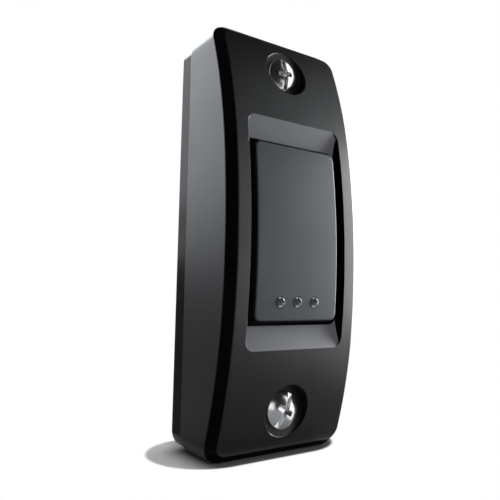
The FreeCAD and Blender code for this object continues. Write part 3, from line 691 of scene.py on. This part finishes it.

# %% [markdown]
# The push plate is a separate moulding in smoke-grey plastic, of a finer grain than the housing and with a
# faint blue cast. Its edge is a quarter round all the way. The part of it that turns into the gap carries
# painted shade, a darker and duller colour, and that painted shade draws the lip along the plate's bottom.
# Three holes near that edge let the light tips through, and behind the window a flange carries the two
# trunnions on which the plate rocks.

# %% Push plate
smoke_grey = satin_plastic("smoke_grey", (0.025, 0.0295, 0.035), 0.34, 0.25, 0.002)
# Painted shade: a darker, duller copy of the plate's plastic for the parts in the gap.
smoke_painted_shade = satin_plastic("smoke_painted_shade", (0.004, 0.0046, 0.0055), 0.5, 0.04, 0.002)
BUTTON_PLATE = (24.5, 42.2, 1.8)
BUTTON_SINK = 0.4
BUTTON_ROUND = 0.6
BUTTON_WALL = 1.6
FLANGE_BACK = 6.4
FLANGE_FRONT = 5.2
FLANGE_OVERLAP = 1.15
TIP_HEIGHT = -16.6
TIP_PITCH = 5.06
TIP_RADIUS = 1.3
TIP_RISE = 0.6
TIP_CLEARANCE = 0.05
TIP_TURN = 0.1
HINGE = (19.2, 17.9)
PIN_RADIUS = 1.25
PIN_TIP = 17.3
PIN_ROOT = 13.6
PIN_SIDES = 24
TIP_SIDES = 32
PAINTED_SHADE_ROWS = 6
FLANGE_PLATE = (*grown(WINDOW_PLATE, FLANGE_OVERLAP)[:2], BUTTON_PLATE[2])
tip_places = [step * TIP_PITCH for step in (-1, 0, 1)]


def open_plate(edge, hole):
    """The region of the push plate, clear of the holes for the tips."""
    plate = grown(BUTTON_PLATE, -edge)
    return clear_of(lambda x, z: within_plate(x, z, *plate),
                    [(place, TIP_HEIGHT, hole) for place in tip_places])


def make_button():
    """The push plate with its flange and trunnions."""
    skin = Skin()
    shape, flange = outline(*BUTTON_PLATE, arc=8), outline(*FLANGE_PLATE, arc=8)
    back, front = behind_face(FLANGE_BACK), behind_face(FLANGE_FRONT)
    top, inside = behind_face(inset=BUTTON_SINK), behind_face(inset=BUTTON_SINK + BUTTON_WALL)
    flange_back = skin.laid(flange, back)
    flange_front = skin.laid(flange, front)
    # Painted shade: the flange behind the window takes the darker colour too.
    skin.strips([flange_back, flange_front], mark=1)
    rows = [skin.laid(shape, front)]
    skin.sheet([flange_front, rows[0]], between(FLANGE_PLATE, BUTTON_PLATE), front, mark=1)
    for angle in np.linspace(0, math.pi / 2, 9):
        places = around(shape, BUTTON_ROUND * (1 - math.cos(angle)))
        rows.append(skin.laid(places, behind_face(BUTTON_ROUND * (1 - math.sin(angle)), BUTTON_SINK)))
    # Painted shade: the rows of the edge that turn into the gap get the darker colour.
    skin.strips(rows[: PAINTED_SHADE_ROWS + 1], mark=1)
    skin.strips(rows[PAINTED_SHADE_ROWS:])
    hole = TIP_RADIUS + TIP_CLEARANCE
    profile = [(hole + TIP_TURN, top), (hole, behind_face(TIP_TURN, BUTTON_SINK)),
               (hole, behind_face(BUTTON_WALL, BUTTON_SINK))]
    holes = [skin.spin(profile, place, TIP_HEIGHT, TIP_SIDES) for place in tip_places]
    skin.sheet([rows[-1]] + [rings[0] for rings in holes], open_plate(BUTTON_ROUND, hole + TIP_TURN), top)
    inner = around(shape, BUTTON_WALL)
    inner_front = skin.laid(inner, inside)
    inner_back = skin.laid(inner, back)
    skin.strips([inner_front, inner_back])
    skin.sheet([inner_front] + [rings[-1] for rings in holes], open_plate(BUTTON_WALL, hole), inside)
    skin.sheet([flange_back, inner_back], between(FLANGE_PLATE, grown(BUTTON_PLATE, -BUTTON_WALL)), back)
    pin_depth, pin_height = circle(PIN_RADIUS, *HINGE, PIN_SIDES)
    for side in (-1, 1):
        skin.closed([skin.row(side * x, pin_depth, pin_height) for x in (PIN_TIP, PIN_ROOT)])
    piece = solid("push_plate", skin, [smoke_grey, smoke_painted_shade])
    return stand_in(piece, "button", "push_button")


button = make_button()

# %% [markdown]
# The three light tips are the ends of one clear moulding behind the push plate. They are tinted like the
# plate, stand a little proud, and have a hard gloss, so each carries one small highlight. A dome is a few
# rings of a ball, closed with a point at the top.

# %% Light tips
tip_smoke = Finish("tip_smoke", (0.032, 0.038, 0.044), 0.12, Specular_IOR_Level=0.6, Coat_Weight=0.5,
                   Coat_Roughness=0.05)
tip_smoke.speckle(1.5, 0.08, 0.08)
PIPE_BAR = (14.0, 3.8, 0.4)
PIPE_BAR_DEPTH = 1.8


def make_tips():
    """The clear moulding: three domed tips on a bar."""
    skin = Skin()
    ball = (TIP_RADIUS**2 + TIP_RISE**2) / (2 * TIP_RISE)
    face = float(bow_depth(TIP_HEIGHT, BUTTON_SINK))
    bar_front = face - BUTTON_WALL - TIP_CLEARANCE
    profile = [(TIP_RADIUS, bar_front), (TIP_RADIUS, face)]
    for angle in np.linspace(math.asin(TIP_RADIUS / ball), 0, 9)[1:-1]:
        profile.append((ball * math.sin(angle), face + TIP_RISE - ball + ball * math.cos(angle)))
    for place in tip_places:
        last = skin.spin(profile, place, TIP_HEIGHT, TIP_SIDES)[-1]
        crown = skin.row([place], face + TIP_RISE, [TIP_HEIGHT])[0]
        for k in range(TIP_SIDES):
            skin.face((last[k], last[(k + 1) % TIP_SIDES], crown))
    bar = outline(*PIPE_BAR, step=20, arc=3)
    bar[1] += TIP_HEIGHT
    skin.closed([skin.laid(bar, depth) for depth in (bar_front, bar_front - PIPE_BAR_DEPTH)])
    piece = solid("light_tips", skin, [tip_smoke])
    return stand_in(piece, "button", "light_pipe")


tips = make_tips()

# %% [markdown]
# The screws are plated steel with a round head and a drive that takes a flat or a cross driver. A head is
# struck round about its axis, so it is a spun profile, and the drive is then cut out of it with two solid
# cutters. Small bevels on the cut edges give them their bright outlines, and the walls of the drive have a
# duller finish than the plated dome.

# %% Heads of the mounting screws
SCREW_HEAD = 4.4
SCREW_RIM = 0.4
SCREW_RISE = 1.45
SCREW_EDGE = 0.25
SCREW_FOOT = 0.08
HEAD_BALL = (SCREW_HEAD**2 + SCREW_RISE**2) / (2 * SCREW_RISE)
HEAD_TOP = SEAT_DEPTH + SCREW_RIM + SCREW_RISE
SLOT_WIDTH, SLOT_DEPTH = 1.2, 1.3
CROSS_REACH, CROSS_WIDTH, CROSS_DEPTH = 2.4, 1.3, 1.7
CROSS_FOOT = (0.35, 0.3)
CROSS_FLARE = 1.3
CUTTER_RISE = 1.0
DRIVE_BEVEL = 0.1
DRIVE_DEEP = 0.12
SEAT_CLEARANCE = 0.1
WALL_TILT = 0.6

plated = Finish("plated_steel", (0.80, 0.81, 0.82), 0.2, Metallic=0.99)
brushed = plated.noise(2.5, detail=4.0)
plated.feed("Roughness", brushed * 0.12 + 0.16)
plated.bump(brushed, 0.002, 0.5)
drive_steel = Finish("drive_steel", (0.8, 0.8, 0.805), 0.35, Metallic=1.0)
drive_steel.speckle(2.0, 0.15, 0.25, detail=4.0)


def cross_outline(reach, half):
    """Twelve corners of a cross."""
    arm = [(reach, -half), (reach, half), (half, half)]
    found = []
    for k in range(4):
        c, s = math.cos(k * math.pi / 2), math.sin(k * math.pi / 2)
        found += [(c * x - s * z, s * x + c * z) for x, z in arm]
    return found


def blank_head(name, height):
    """A head before its drive is cut."""
    skin = Skin()
    angles = np.linspace(math.asin((SCREW_HEAD - SCREW_EDGE) / HEAD_BALL), 0, 22)[:-1]
    dome = [np.array((HEAD_BALL * math.sin(angle), HEAD_TOP - HEAD_BALL + HEAD_BALL * math.cos(angle)))
            for angle in angles]
    brim = np.array((SCREW_HEAD, SEAT_DEPTH + SCREW_RIM))
    profile = [(SCREW_HEAD - SCREW_FOOT, SEAT_DEPTH), (SCREW_HEAD, SEAT_DEPTH + SCREW_FOOT)]
    profile += turned_edge(brim - (0, SCREW_EDGE), brim, dome[0], 7) + dome[1:]
    rings = skin.spin(profile, 0.0, height, 72)
    skin.face(rings[-1])
    skin.face(rings[0])
    return solid(name, skin, [plated, drive_steel])


def cut_drive(head, height, turn):
    """Cuts the slot and the cross, and bevels their edges."""
    half, reach = SLOT_WIDTH / 2, SCREW_HEAD + CUTTER_RISE
    slot = [(-half, -reach), (half, -reach), (half, reach), (-half, reach)]
    foot = cross_outline(CROSS_REACH * CROSS_FOOT[0], CROSS_WIDTH * CROSS_FOOT[1])
    mouth = cross_outline(CROSS_REACH, CROSS_WIDTH / 2)
    flare = cross_outline(CROSS_REACH * CROSS_FLARE, CROSS_WIDTH / 2)
    above = HEAD_TOP + CUTTER_RISE
    tools = []
    for outlines in ([(slot, HEAD_TOP - SLOT_DEPTH), (slot, above)],
                     [(foot, HEAD_TOP - CROSS_DEPTH), (mouth, HEAD_TOP), (flare, above)]):
        skin = Skin()
        skin.closed([skin.laid(np.transpose(points), depth) for points, depth in outlines])
        tools.append(solid("cutter", skin))
        tools[-1].matrix_world = Matrix.Translation((0, 0, height * MM)) @ turned(turn, "Y").to_4x4()
        cut = head.modifiers.new("drive", "BOOLEAN")
        cut.object = tools[-1]
        cut.operation = "DIFFERENCE"
    edge = head.modifiers.new("drive_edges", "BEVEL")
    edge.width = DRIVE_BEVEL * MM
    edge.segments = 2
    bpy.context.view_layer.update()
    made = bpy.data.meshes.new_from_object(head.evaluated_get(bpy.context.evaluated_depsgraph_get()))
    head.modifiers.clear()
    head.data = made
    for tool in tools:
        bpy.data.objects.remove(tool)


def mark_drive(mesh, height):
    """Gives the walls of the drive their own finish."""
    for face in mesh.polygons:
        x, y, z = face.center / MM
        reach = math.hypot(x, z - height)
        surface = HEAD_TOP - HEAD_BALL + math.sqrt(HEAD_BALL**2 - min(reach, SCREW_HEAD) ** 2)
        in_drive = reach < SCREW_HEAD - SCREW_EDGE and SEAT_DEPTH + SEAT_CLEARANCE < -y < surface - DRIVE_DEEP
        face.material_index = int(in_drive and abs(face.normal.y) < WALL_TILT)


print("screw heads: radius", SCREW_HEAD, "mm, tops at", round(HEAD_TOP, 2))

# %% [markdown]
# Behind the wall plane the shank has its thread, a ridge that winds round it, made by letting the radius
# follow the turn and fade towards the tip.

# %% Mounting screws
SCREW_LENGTH = 25.4
SHANK = 1.5
SHANK_SIDES = 32
SHOULDER = 0.3
THREAD = 1.75
THREAD_ROOT = SHANK * 0.86
THREAD_PITCH = 0.794
THREAD_ROWS = 8
CREST = (1.35, 0.2)
TIP_FADE = 1.2
LEAST_RIDGE = 0.3
SCREW_CREASE = 40.0


def shank_skin(height):
    """The shank with its thread, from the seat to the tip."""
    skin = Skin()
    rings = skin.spin([(SHANK, SEAT_DEPTH), (SHANK, SHOULDER), (SHANK, 0.0)], 0.0, height, SHANK_SIDES)
    tip = SEAT_DEPTH - SCREW_LENGTH
    turn = np.arange(SHANK_SIDES) / SHANK_SIDES
    for depth in np.arange(0.0, tip - 0.01, -THREAD_PITCH / THREAD_ROWS):
        wave = np.abs(((depth / THREAD_PITCH + turn) % 1) * 2 - 1)
        ridge = np.clip(wave * CREST[0] - CREST[1], 0, 1) * np.clip((depth - tip) / TIP_FADE, LEAST_RIDGE, 1)
        radius = THREAD_ROOT + (THREAD - THREAD_ROOT) * ridge
        rings.append(skin.laid(circle(radius, 0.0, height, SHANK_SIDES), depth))
    skin.strips(rings[2:])
    skin.face(rings[-1])
    return skin


def make_screw(name, height, turn):
    """One mounting screw, its drive turned so many degrees to the right."""
    head = blank_head(name, height)
    cut_drive(head, height, turn)
    mark_drive(head.data, height)
    skin = shank_skin(height)
    shank = new_mesh(name + "_shank", skin.points, skin.faces)
    joined = bmesh.new()
    joined.from_mesh(head.data)
    joined.from_mesh(shank)
    joined.to_mesh(head.data)
    joined.free()
    bpy.data.meshes.remove(shank)
    stand_in(head, "housing", name)
    head.data.set_sharp_from_angle(angle=math.radians(SCREW_CREASE))
    return head


screws = [make_screw("mounting_screw_top", SCREW_HEIGHTS[0], -7.0),
          make_screw("mounting_screw_bottom", SCREW_HEIGHTS[1], 29.0)]

# %% [markdown]
# The pieces that keep their solid's own mesh get a finish each: the board's green lacquer with its woven
# glass just showing, black epoxy chips, tinned leads, the aluminium can, and brass and steel terminals. The
# base's flat back carries painted light, a lighter colour than round its rim: a share tells how far a place
# lies from a box.

# %% Finishes for the solids
BASE_PAINTED_LIGHT_BOX = ((0, 0, 0), (18.2, 100, 50.8), (0.0, 0.6))
BASE_BACK_PAINTED_LIGHT = 0.035
BASE_RIM_GREY = 0.0014
WEAVE_SCALE = 900.0


def box_share(finish, middle, half, reach):
    """How far a place lies from a box, as a share from 0 to 1 within a reach."""
    def vector_math(operation, first, second=(0, 0, 0), out=0):
        return finish.node("VectorMath", {"operation": operation}, out, Vector=first, _1=second)

    spread = vector_math("ABSOLUTE", vector_math("SUBTRACT", finish.place(), [v * MM for v in middle]))
    beyond = vector_math("MAXIMUM", vector_math("SUBTRACT", spread, [v * MM for v in half]))
    far_off = vector_math("LENGTH", beyond, out=1)
    return finish.node("MapRange", {"interpolation_type": "SMOOTHSTEP"}, Value=far_off,
                       From_Min=reach[0] * MM, From_Max=reach[1] * MM)


# Painted light: the base is painted lighter inside the box, on its flat back, and fades to its black rim.
painted_light_fade = box_share(base_black, *BASE_PAINTED_LIGHT_BOX)
base_black.feed("Base Color", BASE_BACK_PAINTED_LIGHT - painted_light_fade * (BASE_BACK_PAINTED_LIGHT - BASE_RIM_GREY))
laminate = Finish("board_laminate", (0.02, 0.11, 0.045), 0.35)
warp, weft = (laminate.node("TexWave", {"wave_type": "BANDS", "bands_direction": way},
                            Vector=laminate.place(), Scale=WEAVE_SCALE) for way in "XZ")
laminate.bump(warp + weft, 0.01, 0.4)
epoxy = satin_plastic("chip_epoxy", (0.012, 0.012, 0.013), 0.55, 0.4, 0.01)
switch_black = satin_plastic("switch_black", (0.015, 0.015, 0.016), 0.5, 0.4, 0.003)
led_clear = Finish("led_clear", (0.75, 0.78, 0.80), 0.08, Specular_IOR_Level=0.6).speckle(1.0, 0.05, 0.05)
tinned = Finish("tinned_steel", (0.72, 0.72, 0.70), 0.28, Metallic=1.0).speckle(3.0, 0.15, 0.22)
can = Finish("capacitor_can", (0.62, 0.63, 0.65), 0.3, Metallic=1.0).speckle(2.0, 0.2, 0.2, detail=4.0)
brass = Finish("brass", (0.72, 0.50, 0.20), 0.25, Metallic=1.0).speckle(0.8, 0.25, 0.15, detail=4.0)
steel = Finish("bright_steel", (0.66, 0.66, 0.67), 0.25, Metallic=1.0).speckle(1.5, 0.2, 0.15, detail=4.0)

NODE_FINISHES = [
    (base_black, ["rear_base"]),
    (laminate, ["circuit_board"]),
    (switch_black, ["switch_body", "switch_plunger"]),
    (epoxy, ["microcontroller", "bridge_rectifier", "signal_transistor", "chip_resistors"]),
    (led_clear, ["indicator_led"]),
    (can, ["filter_capacitor"]),
    (tinned, ["switch_cover_plate", "switch_pins"]
     + [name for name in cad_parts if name.endswith("_leads")]),
    (brass, ["terminal_plate_left", "terminal_plate_right", "terminal_screw_left"]),
    (steel, ["board_screw_left", "board_screw_right", "switch_dome", "terminal_screw_right"]),
]
for finish, node_names in NODE_FINISHES:
    for node_name in node_names:
        node_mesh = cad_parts[node_name].data
        node_mesh.materials.clear()
        node_mesh.materials.append(finish.material)
print("finished nodes:", sum(len(node_names) for _, node_names in NODE_FINISHES))

# %% [markdown]
# The stage is a pale floor at the housing's lower end and a white surround. The world is white where the
# camera, a mirror or glass sees it, and a soft grey as light, so that the background is white without
# flooding the object. Far from the object the floor turns into that same white, and round the housing's foot
# its colour is painted darker: a painted contact shadow, as in the photograph.

# %% Floor and surround
FLOOR = -HALF_HEIGHT - 0.02
FLOOR_HALF = 20000
FLOOR_PATCH = ((-1.7, -5.6, FLOOR), (11.3, 0.0, 0.0), (13.2, 14.4))
PAINTED_CONTACT_SHADOW = ((2.0, -13.5, FLOOR), (17.5, 10.0, 0.0), (0.0, 8.5))
PAINTED_SHADOW_GREY = 0.14
FLOOR_GREY = 0.9
WORLD_LIGHT = 0.3


def board(name, x_low, x_high, y_low, y_high, z, finish, reflections_only=False):
    """A flat board that belongs to the stage."""
    corners = [(x_low, y_low, z), (x_high, y_low, z), (x_high, y_high, z), (x_low, y_high, z)]
    made = new_object(name, new_mesh(name, corners, [(0, 1, 2, 3)], [finish]))
    if reflections_only:
        made.visible_camera = made.visible_diffuse = made.visible_shadow = made.visible_transmission = False
    return made


def seen_white(tree):
    """1 where the camera, a mirror or glass looks, else 0."""
    camera_ray, glossy_ray, glass_ray = [add_node(tree, "LightPath", out=f"Is {kind} Ray")
                                         for kind in ("Camera", "Glossy", "Transmission")]
    return glass_ray.work("MAXIMUM", camera_ray.work("MAXIMUM", camera_ray, glossy_ray), glass_ray)


def blend_to(tree, output, share, first, second):
    """Sends a blend of two shaders to an output node."""
    blend = add_node(tree, "MixShader", _0=share, _1=first, _2=second)
    plug(tree, tree.nodes[output].inputs["Surface"], blend)


floor_white = Finish("floor_white", (0.92, 0.92, 0.92), 0.9, Specular_IOR_Level=0.0)
# Painted shadow: the floor's colour turns darker round the housing's foot.
clear = box_share(floor_white, *PAINTED_CONTACT_SHADOW)
floor_white.feed("Base Color", clear * (FLOOR_GREY - PAINTED_SHADOW_GREY) + PAINTED_SHADOW_GREY)
far_share = box_share(floor_white, *FLOOR_PATCH)
tree = floor_white.tree
matt, white = Wire(tree, floor_white.shader.outputs[0]), add_node(tree, "Emission", Strength=1.0)
blend_to(tree, "Material Output", far_share * seen_white(tree), matt, white)
board("floor", -FLOOR_HALF, FLOOR_HALF, -FLOOR_HALF, FLOOR_HALF, FLOOR, floor_white)

world = bpy.data.worlds.new("surround")
bpy.context.scene.world = world
world.use_nodes = True
tree = world.node_tree
dim, seen = (add_node(tree, "Background", Color=(1, 1, 1, 1), Strength=light)
             for light in (WORLD_LIGHT, 1.0))
blend_to(tree, "World Output", seen_white(tree), dim, seen)
print("floor at", round(FLOOR, 2), "mm, world light", WORLD_LIGHT)

# %% [markdown]
# A black object shows little of its own colour: what is seen is what it reflects. So the light is built as
# a studio photographer would build it, from soft lamps where the photograph has sheen and black or grey cards
# where it has depth. The cards are seen by reflections alone. So are the softboxes, most of them by one group
# of pieces; the two fills and the overhead lamp light everything and aren't reflected.

# %% Lamps and cards
AIM = (0.0, -20.0, 0.0)
CARD_LIFT = 0.5
GLOW_LIFT = 1.0
WHITE, PALE, DAY = (1.0, 1.0, 1.0), (0.97, 0.985, 1.0), (0.96, 0.985, 1.0)
CLEAR, COOL, BLUE = (0.95, 0.98, 1.0), (0.93, 0.96, 1.0), (0.89, 0.93, 1.0)
LAMPS = [
    ("right_softbox", 68, 6, 170, (125, 145), 5.6, DAY, "face"),
    ("right_strip_softbox", 80, 6, 170, (125, 145), 20.0, DAY, "face"),
    ("right_far_softbox", 88, 12, 600, (300, 400), 14.0, DAY, "face"),
    ("front_softbox", 60, 36, 600, (260, 260), 0.75, CLEAR, "plastics"),
    ("front_glow", 42, 14, 600, (1060, 900), 0.125, (0.86, 0.93, 1.0), "plastics"),
    ("front_left_softbox", -16, 14, 600, (450, 330), 0.35, CLEAR, "plastics"),
    ("right_side_softbox", 100, 24, 600, (380, 330), 3.0, COOL, "sides"),
    ("left_side_softbox", -84, 24, 600, (330, 330), 1.3, COOL, "sides"),
    ("back_softbox", 172, 38, 600, (420, 240), 6.0, COOL, "plastics"),
    ("left_high_softbox", -141, 46, 600, (485, 230), 6.3, BLUE, "reflections"),
    ("left_softbox", -141, 21, 600, (485, 230), 2.1, BLUE, "reflections"),
    ("left_low_softbox", -141, 3, 600, (485, 110), 0.8, BLUE, "reflections"),
    ("screw_softbox", 68, 20, 400, (330, 600), 1.5, PALE, "screws"),
    ("screw_left_softbox", -30, -4, 400, (260, 300), 1.2, PALE, "lower_screw"),
    ("tip_softbox", 45, 62, 300, (260, 110), 4.0, PALE, "tips"),
    ("right_fill", 72, 8, 170, (125, 160), 2.0, WHITE, "light"),
    ("front_fill", -20, 20, 900, (400, 400), 8.0, WHITE, "light"),
    ("overhead_lamp", 60, 82, 900, (180, 180), 40.0, WHITE, "light"),
]
GLOWS = [
    ("screw_floor_glow", (78, -85), (130, 124), 0.9, "lower_screw"),
    ("tip_floor_glow", (14, -44), (44, 30), 2.6, "tips"),
]
card_black = Finish("card_black", (0.005, 0.005, 0.005), 1.0, Specular_IOR_Level=0.0)
card_grey = Finish("card_grey", (0.28, 0.28, 0.29), 1.0, Specular_IOR_Level=0.0)
CARDS = [
    ("card_front", 0, 0, 1400, (4000, 4000), card_black),
    ("card_right", 90, 0, 1400, (4000, 4000), card_black),
    ("card_left", -90, 0, 1400, (4000, 4000), card_black),
    ("card_top", 0, 90, 1400, (4000, 4000), card_black),
    ("card_low_back", 180, -9, 300, (700, 85), card_black),
    ("card_low_left", -141, -7.5, 300, (500, 110), card_grey),
]
FLOOR_CARDS = [
    ("card_on_back_floor", -22, 240, 10, 310, card_black),
    ("card_on_mid_floor", 42, 100, -260, -180, card_black),
    ("card_on_far_floor", -700, 160, -1380, -260, card_black),
    ("card_on_left_floor", -222, -22, -22, 280, card_grey),
    ("card_on_floor", -180, 42, -260, -19.8, card_grey),
]
LIT_PIECES = {"screws": screws, "tips": [tips], "lower_screw": screws[1:], "sides": [cover_sides],
              "plastics": screws + [tips], "face": [cover_face, button]}


def from_object(azimuth, elevation, distance):
    """A place round the object: degrees from the front towards the right, and upwards."""
    turn, lift = math.radians(azimuth), math.radians(elevation)
    level = Vector((math.sin(turn), -math.cos(turn), 0.0)) * math.cos(lift)
    return Vector(AIM) + distance * (level + Vector((0.0, 0.0, math.sin(lift))))


def aimed(thing, place, aim, axis):
    """Stands a thing at a place, one of its axes pointing at another place."""
    look = (Vector(aim) - Vector(place)).to_track_quat(axis, "Y")
    thing.matrix_world = Matrix.Translation(Vector(place) * MM) @ look.to_matrix().to_4x4()


def soft_lamp(name, place, aim, size, radiance, colour, works_on):
    """A rectangular soft lamp, its brightness given as that of its face."""
    data = bpy.data.lights.new(name, "AREA")
    data.shape = "RECTANGLE"
    data.size, data.size_y = size[0] * MM, size[1] * MM
    data.energy = radiance * math.pi * data.size * data.size_y
    data.color = colour
    lamp = new_object(name, data)
    aimed(lamp, place, aim, "-Z")
    lamp.visible_camera = False
    lamp.visible_glossy = works_on != "light"
    lamp.visible_diffuse = works_on == "light"
    if works_on in lit_groups:
        lamp.light_linking.receiver_collection = lit_groups[works_on]


# The lamps of "plastics" light all but the listed pieces.
lit_groups = {}
for group, members in LIT_PIECES.items():
    lit_groups[group] = bpy.data.collections.new(group)
    for member in members:
        lit_groups[group].objects.link(member)
    for member in lit_groups[group].collection_objects:
        member.light_linking.link_state = "EXCLUDE" if group == "plastics" else "INCLUDE"
for name, azimuth, elevation, distance, (wide, tall), finish in CARDS:
    card = board(name, -wide / 2, wide / 2, -tall / 2, tall / 2, 0, finish, True)
    aimed(card, from_object(azimuth, elevation, distance), AIM, "Z")
for name, *spans, finish in FLOOR_CARDS:
    board(name, *spans, FLOOR + CARD_LIFT, finish, True)
for name, azimuth, elevation, distance, size, radiance, colour, works_on in LAMPS:
    soft_lamp(name, from_object(azimuth, elevation, distance), AIM, size, radiance, colour, works_on)
for name, spot, size, radiance, works_on in GLOWS:
    soft_lamp(name, (*spot, FLOOR + GLOW_LIFT), (*spot, 0), size, radiance, WHITE, works_on)
print("lamps:", len(LAMPS) + len(GLOWS), "cards:", len(CARDS) + len(FLOOR_CARDS))
